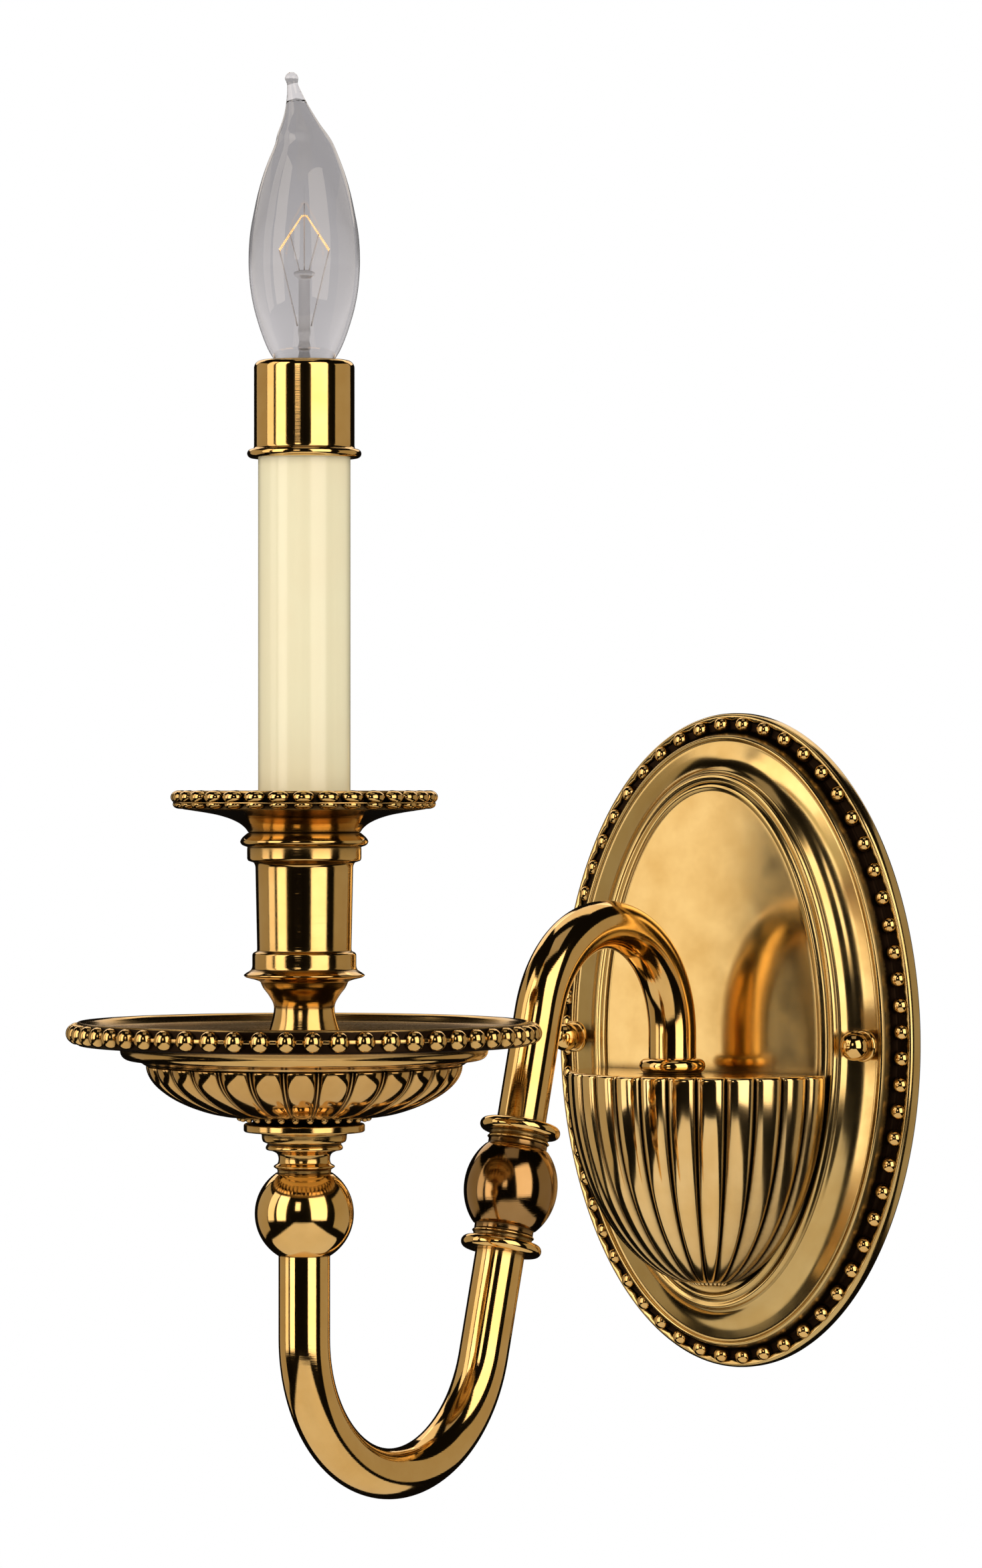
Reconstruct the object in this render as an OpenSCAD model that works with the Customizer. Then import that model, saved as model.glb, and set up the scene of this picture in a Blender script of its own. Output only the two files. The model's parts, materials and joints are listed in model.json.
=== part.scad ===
// Wall sconce with one electric candle on an S-shaped arm.
// The wall is the plane y = 0 and the room is on the -y side; the arm lies in the plane x = 0.

/* [Wall plate] */
// Width of the oval plate
plate_w = 138.6; // [132:0.2:150]
// Height of the oval plate
plate_h = 208.2; // [200:0.2:230]
// Thickness of the plate's sheet metal
plate_t = 1.2; // [1:0.1:1.4]
// Number of beads round the plate
plate_beads_n = 60; // [40:1:64]
// Radius of one plate bead
plate_bead_r = 2.1; // [1.5:0.1:2.2]

/* [Half bowl] */
// Radius of the half bowl at its ledge
bowl_r = 45.7; // [42:0.1:48]
// Depth of the half bowl below its ledge
bowl_depth = 68.3; // [60:0.1:72]
// Height of the ledge above the plate's centre
ledge_z = -9.4; // [-12:0.1:-9]
// Number of ribs on the half bowl
rib_n = 15; // [9:1:17]
// Depth of the grooves between the ribs
rib_depth = 2.4; // [1:0.1:3]

/* [Arm] */
// Distance from the wall to the candle's axis
candle_reach = 217.5; // [212:0.5:222]
// Distance from the candle's axis to the arm's wall end
arm_span = 180.5; // [179:0.5:182]
// Outer radius of the arm's tube
tube_r = 7.5; // [7.2:0.1:7.5]
// Wall thickness of the arm's tube
tube_wall = 1.3; // [1:0.1:1.3]
// Radius of the lower bend at the tube's centre line
low_bend_r = 42.9; // [42.5:0.1:43.5]
// Height of the lower bend's lowest centre point
low_bend_z = -122.5; // [-124:0.5:-121]
// Radius of the upper bend at the tube's centre line
top_bend_r = 34.9; // [34.5:0.1:35.5]
// Lean of the rising limb from upright, in degrees
limb_lean = 15; // [14.5:0.1:15.5]
// Distance of the knop's centre along the rising limb
knop_at = 51.7; // [48:0.1:56]
// Radius of the knop
knop_r = 14.2; // [13:0.1:15]

/* [Candle] */
// Radius of the ball under the candle
ball_r = 14.4; // [14:0.1:15]
// Radius of the drip pan at its bead centres
pan_bead_ring_r = 66.3; // [64:0.1:68]
// Number of beads on the drip pan
pan_beads_n = 56; // [40:1:60]
// Radius of one drip pan bead
pan_bead_r = 2.9; // [2.4:0.1:3]
// Number of lobes on the gadrooned bowl
lobe_n = 28; // [20:1:32]
// Number of beads on the bobeche
bobeche_beads_n = 32; // [24:1:36]
// Outer radius of the candle sleeve
sleeve_r = 13.4; // [13.2:0.1:13.4]
// Length of the candle sleeve
sleeve_l = 126.5; // [126:0.1:126.5]

/* [Bulb] */
// Radius of the bulb's glass at its widest
bulb_r = 16.1; // [15:0.1:16.5]
// Direction in which the bulb's bent tip points, in degrees
tip_turn = 218; // [0:1:359]

/* [Hidden] */

$fn = 64;
old_brass = "#9a7432";
bright_brass = "#c9a24c";
steel = "#a8acb0";
eps = 0.01;

// Plate: every ring is an ellipse set in from the rim; sideways it is set in a little more.
side_inset = 1.15;
plate_steps = 64;
channel_t = 3.8;
bead_inset = 3.7;
panel_inset = 24.6;
panel_t = 16;
dome_t = 17.2;
plate_front = [
    [0.3, 0], [0, 0.8], [0, 4.2], [1.1, 5.2], [2, channel_t], [5.6, channel_t], [6.9, 8.9], [7.9, 9.7],
    [8.9, 8.8], [13, 10.3], [18, 13.9], [18.7, 14.1], [19.9, 15.8], [21.3, 15.5], [23.1, 16.7],
    [panel_inset, panel_t]
];
plate_back = [
    [0.3 + plate_t, 0], [0.4 + plate_t, channel_t - plate_t], [5.4 + plate_t, channel_t - plate_t],
    [8.2, 8.6 - plate_t], [13.4, 10.2 - plate_t], [18.9, 13.9 - plate_t], [25, panel_t - plate_t]
];

// Half bowl
bowl_back_y = 16.4;
bowl_wall = 2.2;
ledge_t = 2.4;
rib_steps = 6;
boss_x = 28;
boss_z = -15.2;
boss_r = 3.6;
boss_l = 16;
bowl_screw_r = 1.95;

// Threads, all drawn as plain cylinders
pipe_r = 4.8;
pipe_bore_r = 3.3;
pipe_hole_r = 4.9;
stud_r = 2.03;
stud_hole_r = 2.1;

// Crossbar
bar_l = 126;
bar_w = 22;
bar_t = 2.5;
post_x = 56.4;
slot_spacing = 88.9;
slot_l = 12;
slot_r = 2.4;
centre_hole_r = 5.05;
ground_x = -24;
ground_r = 2;
lock_nut_h = 3;

// Ball nuts
collar_y = 12.6;
collar_t = 2;
nut_ball_r = 4.5;
nut_ball_y = 18.4;
stud_tip_y = 19.6;

// Arm, drawn in a plane of its own: x runs from the candle's axis to the wall, y runs up
arm_wall_y = candle_reach - arm_span;
low_c = [low_bend_r, low_bend_z + low_bend_r];
limb_dir = [sin(limb_lean), cos(limb_lean)];
limb_start = low_c + low_bend_r * [cos(limb_lean), -sin(limb_lean)];
limb_end_x = arm_span - top_bend_r * (1 + cos(limb_lean));
limb_l = (limb_end_x - limb_start[0]) / sin(limb_lean);
limb_end = limb_start + limb_l * limb_dir;
top_c = [arm_span - top_bend_r, limb_end[1] - top_bend_r * sin(limb_lean)];
knop_c = limb_start + knop_at * limb_dir;
tube_in_r = tube_r - tube_wall;
low_bend = bend_path(low_c, low_bend_r, 180, 360 - limb_lean, 1, 14);
top_bend = bend_path(top_c, top_bend_r, 180 - limb_lean, 0, -1, 14);
tube_hole_r = tube_r + 0.05;
joint_gap = 0.5;
knop_half = 12.4;
collar_half = 6.2;
tube_sides = 32;
down = [0, -1];
lead_r = 1;
lead_x = 1.4;
lead_bend_r = 9;
lead_bend_z = -24;
lead_end_y = 9;

// Candle stack heights
ball_z = -43.2;
ball_flat_z = -31.4;
ball_socket_z = -49.5;
flange_z = -17;
pan_lip_z = 0.05;
pan_floor_z = 8.5;
pan_bead_z = 9.3;
cup_top_z = 67.35;
bobeche_floor_z = 76.5;
bobeche_bead_z = 77;
bobeche_bead_ring_r = 36.7;
bobeche_bead_r = 2.5;
nipple_top_z = 92;
bowl_centre_r = 4;

// Sleeve, cap and socket
sleeve_z = bobeche_floor_z + 0.1;
sleeve_in_r = sleeve_r - 1.2;
cap_r = 14.6;
cap_in_r = 13.8;
cap_under_z = sleeve_z + sleeve_l + 0.05;
cap_rim_z = 177.4;
cap_rim_ring_r = 15.3;
cap_rim_r = 1.3;
cap_hole_r = 11.4;
socket_z = 172;
socket_top_z = 199;
socket_r = 9.6;
socket_seat_z = 180;
shell_r = 6.6;
shell_in_r = 6.1;
bracket_foot_z = 84;

// Bulb
bulb_tip_z = 184;
bulb_base_r = 5.75;
bulb_thread_r = 5.95;
thread_pitch = 2.54;
glass_t = 0.8;
glass_foot_z = 200.3;
glass_top_z = 268;
neck_r = 5.3;
stem_top_z = 229.6;
filament_z = 236.4;
apex_z = 246.6;
spike_z = 250;

// Points on an arc about a centre
function arc(c, r, a0, a1, n = 6) =
    [for (i = [0:n]) let (a = a0 + (a1 - a0) * i / n) c + r * [cos(a), sin(a)]];

// Points of a ring of the plate, d in from the rim and t off the wall
function plate_ring(d, t, k = 1) = [
    for (i = [0:plate_steps - 1])
        let (a = 360 * i / plate_steps)
        [k * (plate_w / 2 - side_inset * d) * cos(a), -t, k * (plate_h / 2 - d) * sin(a)]
];

// Radius of a lobed outline, with n rounded lobes to the turn and grooves g deep
function lobed(r, g, n, a) = r - g * (1 - sqrt(abs(sin(n * a / 2))));

// Closed skin over equal rings of points, capped at both ends
module skin(rings) {
    n = len(rings[0]);
    m = len(rings);
    pts = [for (ring = rings) each ring];
    sides = [
        for (j = [0:m - 2]) for (i = [0:n - 1])
            let (a = j * n + i, b = j * n + (i + 1) % n)
            each [[a, b, b + n], [a, b + n, a + n]]
    ];
    polyhedron(pts, concat(sides, [[for (i = [n - 1:-1:0]) i]], [[for (i = [0:n - 1]) (m - 1) * n + i]]));
}

// Closed skin over equal rings of points, whose last ring joins its first
module loop_skin(rings) {
    n = len(rings[0]);
    m = len(rings);
    polyhedron([for (ring = rings) each ring], [
        for (j = [0:m - 1]) for (i = [0:n - 1])
            let (k = (j + 1) % m * n, i2 = (i + 1) % n, a = j * n + i, b = j * n + i2)
            each [[a, b, k + i2], [a, k + i2, k + i]]
    ]);
}

// Turned ring: its outline is revolved about z
module turned(outline) rotate_extrude() polygon(outline);

module at_candle() translate([0, -candle_reach, 0]) children();

// Puts the arm's own plane into the model
module in_arm_plane() at_candle() rotate([90, 0, 90]) children();

// Stands children up along the rising limb, with z along it
module on_limb(at) in_arm_plane()
    translate([limb_start[0] + at * limb_dir[0], limb_start[1] + at * limb_dir[1], 0])
        rotate([0, 0, -limb_lean]) rotate([-90, 0, 0]) children();

// Straight round bar or pipe between two points of the arm's plane
module run(p, q, r, hole = 0) {
    d = q - p;
    translate([p[0], p[1], 0]) rotate([0, 0, atan2(d[1], d[0])]) rotate([0, 90, 0]) difference() {
        cylinder(r = r, h = norm(d));
        if (hole > 0) translate([0, 0, -1]) cylinder(r = hole, h = norm(d) + 2);
    }
}

// Stations [point, heading] along a bend of the arm's plane; turn is 1 to the left and -1 to the right
function bend_path(c, bend_r, a0, a1, turn, n) = [for (i = [0:n])
    let (a = a0 + (a1 - a0) * i / n) [c + bend_r * [cos(a), sin(a)], turn * [-sin(a), cos(a)]]];

// Rings of points round a path of stations
function path_rings(path, r, sides) = [for (s = path) [for (i = [0:sides - 1])
    let (a = 360 * i / sides, side = r * cos(a))
    [s[0][0] - side * s[1][1], s[0][1] + side * s[1][0], r * sin(a)]]];

// Round bar along a path of stations
module bar(path, r, sides) skin(path_rings(path, r, sides));

// Pipe along a path of stations, as a skin that runs back along its own bore
module pipe(path, r, hole, sides) {
    back = [for (i = [len(path) - 1:-1:0]) path[i]];
    loop_skin(concat(path_rings(path, r, sides), path_rings(back, hole, sides)));
}

module hex_nut(across_corners, h, hole_r) difference() {
    cylinder(d = across_corners, h = h, $fn = 6);
    translate([0, 0, -1]) cylinder(r = hole_r, h = h + 2);
}

// Ring of equal balls
module bead_circle(n, ring_r, z, r)
    for (i = [0:n - 1]) rotate([0, 0, 360 * (i + 0.5) / n]) translate([ring_r, 0, z]) sphere(r = r);

// Drills along y, from the wall outwards, at x and z
module drill_y(x, z, r, from = -1, to = 40)
    translate([x, -from, z]) rotate([90, 0, 0]) cylinder(r = r, h = to - from);

module backplate() color(old_brass) difference() {
    rings = concat(
        [for (i = [len(plate_back) - 1:-1:0]) plate_ring(plate_back[i][0], plate_back[i][1])],
        [for (p = plate_front) plate_ring(p[0], p[1])],
        [plate_ring(panel_inset, panel_t + 0.75 * (dome_t - panel_t), 0.6)],
        [plate_ring(panel_inset, dome_t, 0.2)]
    );
    skin(rings);
    for (side = [-1, 1]) {
        drill_y(side * post_x, 0, stud_r + 0.6);
        drill_y(side * boss_x, boss_z, bowl_screw_r + 0.2);
    }
    drill_y(0, lead_bend_z - lead_bend_r, 5);
}

// Domes that stand in the plate's channel
module backplate_beads() color(bright_brass) {
    a = plate_w / 2 - side_inset * bead_inset;
    b = plate_h / 2 - bead_inset;
    floor_y = channel_t + eps;
    for (i = [0:plate_beads_n - 1]) {
        turn = 360 * (i + 0.5) / plate_beads_n;
        // the step along an ellipse is evened out by lagging the turn a little
        at = turn - 6.3 * sin(2 * turn);
        translate([a * cos(at), -floor_y, b * sin(at)]) rotate([90, 0, 0]) difference() {
            translate([0, 0, 0.8]) sphere(r = plate_bead_r);
            translate([0, 0, -plate_bead_r]) cube([9, 9, 2 * plate_bead_r], center = true);
        }
    }
}

// Radius of the half bowl at k times its depth
function row_r(k) = bowl_r * sqrt(max(0, 1 - k * k));

module half_bowl() color(old_brass) {
    steps = rib_n * rib_steps;
    rows = 9;
    levels = [for (j = [0:rows]) sin(86 * j / rows)];
    rings = [for (k = levels) concat(
        [for (i = [0:steps]) let (a = 180 + 180 * i / steps)
            lobed(row_r(k), rib_depth * (0.15 + 0.85 * row_r(k) / bowl_r), 2 * rib_n, a) * [cos(a), sin(a), 0]
            + [0, -bowl_back_y, ledge_z - k * bowl_depth]]
    )];
    inner_r = bowl_r - rib_depth - bowl_wall;
    inner_depth = bowl_depth - rib_depth - bowl_wall;
    inner_top = ledge_z - ledge_t;
    difference() {
        union() {
            difference() {
                skin(rings);
                translate([0, -bowl_back_y, inner_top]) rotate([180, 0, 0]) rotate_extrude()
                    polygon(concat([[0, 0]], [for (i = [0:8])
                        [inner_r * cos(90 * i / 8), (inner_depth - ledge_t) * sin(90 * i / 8)]]));
            }
            for (side = [-1, 1]) translate([side * boss_x, -bowl_back_y, boss_z]) rotate([90, 0, 0])
                cylinder(r = boss_r, h = boss_l);
            for (side = [-1, 1]) translate([side * boss_x - boss_r, -bowl_back_y - boss_l, boss_z])
                cube([2 * boss_r, boss_l, inner_top - boss_z + 0.5]);
        }
        for (side = [-1, 1]) drill_y(side * boss_x, boss_z, bowl_screw_r + 0.05, 0, bowl_back_y + boss_l - 2);
        translate([0, -arm_wall_y, ledge_z - 6]) cylinder(r = pipe_hole_r, h = 12);
    }
}

// Pan-head screws put in from behind the plate, with their heads against its back
module bowl_screws() color(steel) for (side = [-1, 1]) {
    head_h = 2;
    translate([side * boss_x, head_h - (panel_t - plate_t) + eps, boss_z]) rotate([90, 0, 0]) difference() {
        union() {
            cylinder(r = 3.6, h = head_h);
            cylinder(r = bowl_screw_r, h = 14);
        }
        translate([-3, -0.5, -1]) cube([6, 1, 2]);
    }
}

module wall_crossbar() color(steel) difference() {
    rotate([90, 0, 0]) linear_extrude(bar_t) union() {
        square([bar_l - bar_w, bar_w], center = true);
        for (side = [-1, 1]) translate([side * (bar_l - bar_w) / 2, 0]) circle(d = bar_w);
    }
    drill_y(0, 0, centre_hole_r, -1, 5);
    drill_y(ground_x, 0, ground_r, -1, 5);
    for (side = [-1, 1]) {
        drill_y(side * post_x, 0, stud_r, -1, 5);
        for (end = [-1, 1]) drill_y(side * slot_spacing / 2 + end * (slot_l / 2 - slot_r), 0, slot_r, -1, 5);
        translate([side * slot_spacing / 2, -bar_t / 2, 0])
            cube([slot_l - 2 * slot_r, bar_t + 2, 2 * slot_r], center = true);
    }
}

module crossbar_posts() color(bright_brass) for (side = [-1, 1])
    translate([side * post_x, 0, 0]) rotate([90, 0, 0]) cylinder(r = stud_r, h = stud_tip_y);

module post_lock_nuts() color(steel) for (side = [-1, 1])
    translate([side * post_x, -bar_t - eps, 0]) rotate([90, 0, 0]) hex_nut(9.2, lock_nut_h, stud_r);

module ground_screw() color("#3f7d46") translate([ground_x, 0, 0]) rotate([90, 0, 0]) difference() {
    union() {
        cylinder(r = ground_r, h = bar_t + 1);
        translate([0, 0, bar_t + eps]) cylinder(r = 4.6, h = 0.9);
        translate([0, 0, bar_t + 0.8]) cylinder(d = 7.2, h = 2.6, $fn = 6);
    }
    translate([-4, -0.6, bar_t + 2.4]) cube([8, 1.2, 2]);
}

// Rolled ring round the foot of the arm
module arm_ferrule() color(bright_brass) translate([0, -arm_wall_y, ledge_z + eps])
    turned(concat([[tube_hole_r, 0], [9.2, 0]], arc([8.1, 2.5], 2.3, -60, 90, 7), [[tube_hole_r, 5]]));

module arm_end_bush() color(bright_brass) translate([0, -arm_wall_y, ledge_z + eps]) difference() {
    cylinder(r = tube_in_r, h = 12);
    translate([0, 0, -1]) cylinder(r = pipe_r, h = 14);
}

module arm_nipple() color(steel) translate([0, -arm_wall_y, ledge_z - 9]) difference() {
    cylinder(r = pipe_r, h = 20);
    translate([0, 0, -1]) cylinder(r = pipe_bore_r, h = 22);
}

module arm_lock_nut() color(steel) translate([0, -arm_wall_y, ledge_z - ledge_t - 3.2 - eps])
    hex_nut(16, 3.2, pipe_r);

module upper_arm_tube() color(bright_brass) in_arm_plane() pipe(concat(
    [[knop_c + joint_gap * limb_dir, limb_dir]],
    top_bend,
    [[[arm_span, ledge_z + eps], down]]
), tube_r, tube_in_r, tube_sides);

module lower_arm_tube() color(bright_brass) in_arm_plane() pipe(concat(
    [[[0, ball_socket_z], down]],
    low_bend,
    [[knop_c - joint_gap * limb_dir, limb_dir]]
), tube_r, tube_in_r, tube_sides);

// Barrel-shaped ball with a short neck at each end
module knop_ball() color(old_brass) on_limb(knop_at) turned(concat(
    [[tube_hole_r, -knop_half - 1.6], [9, -knop_half - 1.6], [9, -knop_half + 0.6]],
    [for (i = [0:10]) let (z = (knop_half - 0.8) * (i / 5 - 1))
        [9.2 + (knop_r - 9.2) * sqrt(1 - pow(z / knop_half, 2)), z]],
    [[9, knop_half - 0.6], [9, knop_half + 1.6], [tube_hole_r, knop_half + 1.6]]
));

// Rolled collar with a small fillet ring on its inner side, which faces the ball
module knop_collar() turned(concat(
    [[tube_hole_r, 0], [9, 0], [9.6, 0.5], [9, 1.1], [8.9, 2], [9.6, 2.4]],
    arc([10.4, 4.2], 1.9, -80, 100, 8),
    [[9, 6], [tube_hole_r, collar_half]]
));

module lower_knop_collar() color(bright_brass)
    on_limb(knop_at - knop_half - 1.62) mirror([0, 0, 1]) knop_collar();

module upper_knop_collar() color(bright_brass)
    on_limb(knop_at + knop_half + 1.62) knop_collar();

// Inner tube that joins the two halves of the arm
module knop_joiner() color(steel) in_arm_plane()
    run(knop_c - 13 * limb_dir, knop_c + 13 * limb_dir, tube_in_r - eps, tube_in_r - 1);

module front_ball() color(old_brass) at_candle() difference() {
    translate([0, 0, ball_z]) sphere(r = ball_r);
    translate([-20, -20, ball_flat_z]) cube([40, 40, 10]);
    translate([0, 0, ball_z - 20]) cylinder(r = tube_hole_r, h = ball_socket_z - ball_z + 20 + eps);
    translate([0, 0, ball_z]) cylinder(r = pipe_r + eps, h = 20);
    translate([0, 0, ball_socket_z - 1]) cylinder(r = pipe_bore_r, h = 10);
}

module neck_collar() color(old_brass) at_candle() turned([
    [pipe_hole_r, ball_flat_z + eps], [7.8, ball_flat_z + eps], [7.8, -30.4], [8.9, -29.7], [8.9, -29.3],
    [7.7, -28.6], [7.4, -27.3], [7.8, -25.7], [9.6, -24.9], [11, -24.7], [11.3, -24.1], [11, -23.4],
    [10.6, -22.9], [12, -22.3], [12.3, -21.6], [12.4, -20.2], [13.2, -19.6], [17.2, -19.5],
    [17.6, -19.1], [17.6, -17.4], [17.2, flange_z], [pipe_hole_r, flange_z]
]);

// Ring of points about z
function round_ring(r, z, n) = [for (i = [0:n - 1]) [r * cos(360 * i / n), r * sin(360 * i / n), z]];

// Shallow bowl whose lobes run down to its foot
module gadroon_bowl() color(old_brass) at_candle() {
    rows = 6;
    steps = lobe_n * 4;
    outside = [for (j = [0:rows])
        let (a = 74 * j / rows, r = bowl_centre_r + 42 * cos(a), g = 2.2 * pow(cos(a * 0.8), 1.2))
        [for (i = [0:steps - 1]) let (t = 360 * i / steps)
            lobed(r, g, lobe_n, t) * [cos(t), sin(t), 0] + [0, 0, -16.9 * sin(a)]]];
    foot = [for (p = [[15, flange_z + 0.05], [pipe_hole_r, flange_z + 0.05], [pipe_hole_r, -13.2]])
        round_ring(p[0], p[1], steps)];
    inside = [for (j = [0:5]) let (a = 80 * (1 - j / 5))
        round_ring(3 + 38 * cos(a), -13.2 * sin(a) / sin(80), steps)];
    loop_skin(concat(outside, foot, inside));
}

module drip_pan() color(old_brass) at_candle() union() {
    turned(concat(
        [[pipe_hole_r, 7], [pipe_hole_r, pan_floor_z], [42, 8.6], [58, 9.2], [62.2, 10.2], [63.4, 12.1],
         [64.4, 12.7], [66, 12.7], [66, 5.8], [60, 5.8], [54.8, 5.4]],
        [for (i = [0:4]) let (a = 90 * i / 4) [50.4 + 3 * cos(a), 4 - 2.6 * sin(a)]],
        [[48.4, 1.1], [47.3, 0.7], [46.4, pan_lip_z], [43, pan_lip_z], [43, 1.4], [47, 2.6], [51.6, 6],
         [58, 7.2], [40, 7]]
    ));
    bead_circle(pan_beads_n, pan_bead_ring_r, pan_bead_z, pan_bead_r);
}

// Hollow turned column on a waisted foot
module candle_cup() color(old_brass) at_candle() turned([
    [pipe_hole_r, pan_floor_z + eps], [10.8, pan_floor_z + eps], [9.7, 12], [9.1, 14.1], [8.7, 16.5],
    [9.1, 18.2], [10.6, 20.6], [12, 22.3], [12.8, 24.2], [14.6, 24.8], [16.8, 25.3], [17.8, 26],
    [16.8, 26.7], [15.5, 27.5], [15.1, 28.3], [15.1, 32.1], [14.7, 32.6], [13.8, 33], [13.7, 33.6],
    [14.2, 57.8], [14.7, 58.7], [16.3, 59.2], [16.6, 59.8], [16.6, 62.7], [16.5, 63.2], [18, 63.7],
    [18.8, 64.7], [18, 66], [16.4, cup_top_z], [12, cup_top_z], [12, 34], [10.5, 27], [6.8, 21],
    [pipe_hole_r, 19]
]);

module bobeche() color(old_brass) at_candle() union() {
    turned([
        [pipe_hole_r, cup_top_z + eps], [16.2, cup_top_z + eps], [17, 68.6], [18.6, 70], [21.4, 71.4],
        [25, 72.5], [29.4, 73.3], [34, 74.1], [36.2, 74.3], [36.2, 79.7], [34.8, 79.6], [33, 78.4],
        [26, 77.6], [18, 77.2], [14.2, 76.9], [13.9, bobeche_floor_z], [pipe_hole_r, bobeche_floor_z]
    ]);
    bead_circle(bobeche_beads_n, bobeche_bead_ring_r, bobeche_bead_z, bobeche_bead_r);
}

// Threaded pipe that clamps the stack from the ball to the bobeche
module centre_nipple() color(steel) at_candle() translate([0, 0, ball_z + 0.2]) difference() {
    cylinder(r = pipe_r, h = nipple_top_z - ball_z);
    translate([0, 0, -1]) cylinder(r = pipe_bore_r, h = nipple_top_z - ball_z + 2);
}

module stack_washer() color(steel) at_candle() translate([0, 0, bobeche_floor_z + eps]) difference() {
    cylinder(r = 9, h = 1.2);
    translate([0, 0, -1]) cylinder(r = pipe_r + 0.2, h = 4);
}

module stack_nut() color(steel) at_candle() translate([0, 0, bobeche_floor_z + 1.22]) hex_nut(16, 4, pipe_r);

// Bent strip that screws onto the pipe and carries the lamp socket
module socket_bracket() color(steel) at_candle() difference() {
    union() {
        translate([0, 0, bracket_foot_z]) cylinder(r = 8.2, h = 4);
        translate([6.5, -3.5, bracket_foot_z]) cube([4.6, 7, 1.6]);
        translate([9.75, -3.5, bracket_foot_z]) cube([1.35, 7, socket_z + 10 - bracket_foot_z]);
    }
    translate([0, 0, bracket_foot_z - 1]) cylinder(r = pipe_r, h = 6);
    translate([8, 0, socket_z + 5]) rotate([0, 90, 0]) cylinder(r = 1.3, h = 5);
}

module bracket_screw() color(steel) at_candle()
    translate([8.2, 0, socket_z + 5]) rotate([0, 90, 0]) union() {
        cylinder(r = 1.25, h = 3);
        translate([0, 0, 2.92]) cylinder(r = 2.2, h = 0.6);
    }

module lamp_socket() color("#20201f") at_candle() difference() {
    translate([0, 0, socket_z]) cylinder(r = socket_r, h = socket_top_z - socket_z);
    translate([0, 0, socket_seat_z]) cylinder(r = shell_r + 0.35, h = 30);
    translate([0, 0, socket_z - 1]) cylinder(r = 3, h = 5);
    for (side = [-1, 1]) translate([side * lead_x, 0, socket_z - 1]) cylinder(r = lead_r, h = 6);
    translate([8, 0, socket_z + 5]) rotate([0, 90, 0]) cylinder(r = 1.25, h = 5);
}

module socket_screw_shell() color(bright_brass) at_candle()
translate([0, 0, socket_seat_z + 0.6]) difference() {
    union() {
        cylinder(r = shell_r, h = 17);
        for (i = [1:6]) translate([0, 0, i * thread_pitch - 0.6]) rotate_extrude()
            translate([shell_r - 0.35, 0]) circle(r = 0.6, $fn = 16);
    }
    translate([0, 0, -1]) cylinder(r = shell_in_r, h = 20);
}

// Sprung tongue under the bulb's tip
module socket_contact() color(bright_brass) at_candle() union() {
    translate([0, 0, socket_seat_z + eps]) cylinder(r = 3.4, h = 0.5);
    translate([0, 0, socket_seat_z + 0.4]) cylinder(r1 = 3, r2 = 1.4, h = 3.2);
    translate([0, 0, socket_seat_z + 3.5]) cylinder(r = 1.6, h = 0.3);
}

// One insulated conductor, from the socket through the arm to the back of the plate
module lead(x) in_arm_plane() translate([0, 0, x]) bar(concat(
    [[[0, socket_z + 4.9], down]],
    low_bend,
    top_bend,
    bend_path([arm_span + lead_bend_r, lead_bend_z], lead_bend_r, 180, 270, 1, 5),
    [[[candle_reach - lead_end_y, lead_bend_z - lead_bend_r], [1, 0]]]
), lead_r, 8);

module hot_lead() color("#1c1c1c") lead(lead_x);

module neutral_lead() color("#e8e6e0") lead(-lead_x);

module candle_sleeve() color("#efe3bd") at_candle() translate([0, 0, sleeve_z]) difference() {
    cylinder(r = sleeve_r, h = sleeve_l);
    translate([0, 0, -1]) cylinder(r = sleeve_in_r, h = sleeve_l + 2);
}

// Brass cap over the sleeve's top, with a rolled lower rim
module follower_cap() color(bright_brass) at_candle() turned(concat(
    [[cap_in_r, cap_rim_z - 1.2]],
    arc([cap_rim_ring_r, cap_rim_z], cap_rim_r, -100, 110, 8),
    [[cap_r, cap_rim_z + 2]],
    arc([cap_r - 2.2, cap_under_z - 0.9], 2.2, 0, 90, 6),
    [[cap_hole_r, cap_under_z + 1.3], [cap_hole_r, cap_under_z], [cap_in_r, cap_under_z]]
));

module bulb_contact() color(steel) at_candle() translate([0, 0, bulb_tip_z])
    cylinder(r1 = 1.7, r2 = 2.2, h = 1.1);

module bulb_insulator() color("#16181c") at_candle() turned([
    [0, bulb_tip_z + 1.12], [2.6, bulb_tip_z + 1.12], [4.9, bulb_tip_z + 3.2], [4.9, bulb_tip_z + 4],
    [0, bulb_tip_z + 4]
]);

module bulb_screw_base() color(bright_brass) at_candle() difference() {
    union() {
        translate([0, 0, bulb_tip_z + 3.2]) cylinder(r = bulb_base_r, h = glass_foot_z - bulb_tip_z - 3.25);
        for (i = [0:4]) translate([0, 0, bulb_tip_z + 4.6 + i * thread_pitch]) rotate_extrude()
            translate([bulb_thread_r - 0.6, 0]) circle(r = 0.6, $fn = 16);
    }
    translate([0, 0, bulb_tip_z + 4.02]) cylinder(r = bulb_base_r - 0.5, h = 20);
    translate([0, 0, bulb_tip_z + 2]) cylinder(r = 4.92, h = 4);
}

// Radius of the glass, from its foot up to where the bent tip begins
glass_profile = [
    [neck_r, glass_foot_z], [6, 201.8], [7.6, 203.4], [9.1, 205.2], [10.6, 207.8], [12.1, 211.4],
    [13.5, 215.6], [14.7, 220], [15.6, 225], [bulb_r, 230.5], [bulb_r + 0.05, 235], [bulb_r - 0.15, 239],
    [15.5, 242.9], [14.7, 247.2], [13.6, 252.4], [12.1, 257.8], [10.5, 262.3], [8.3, glass_top_z]
];

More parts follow.
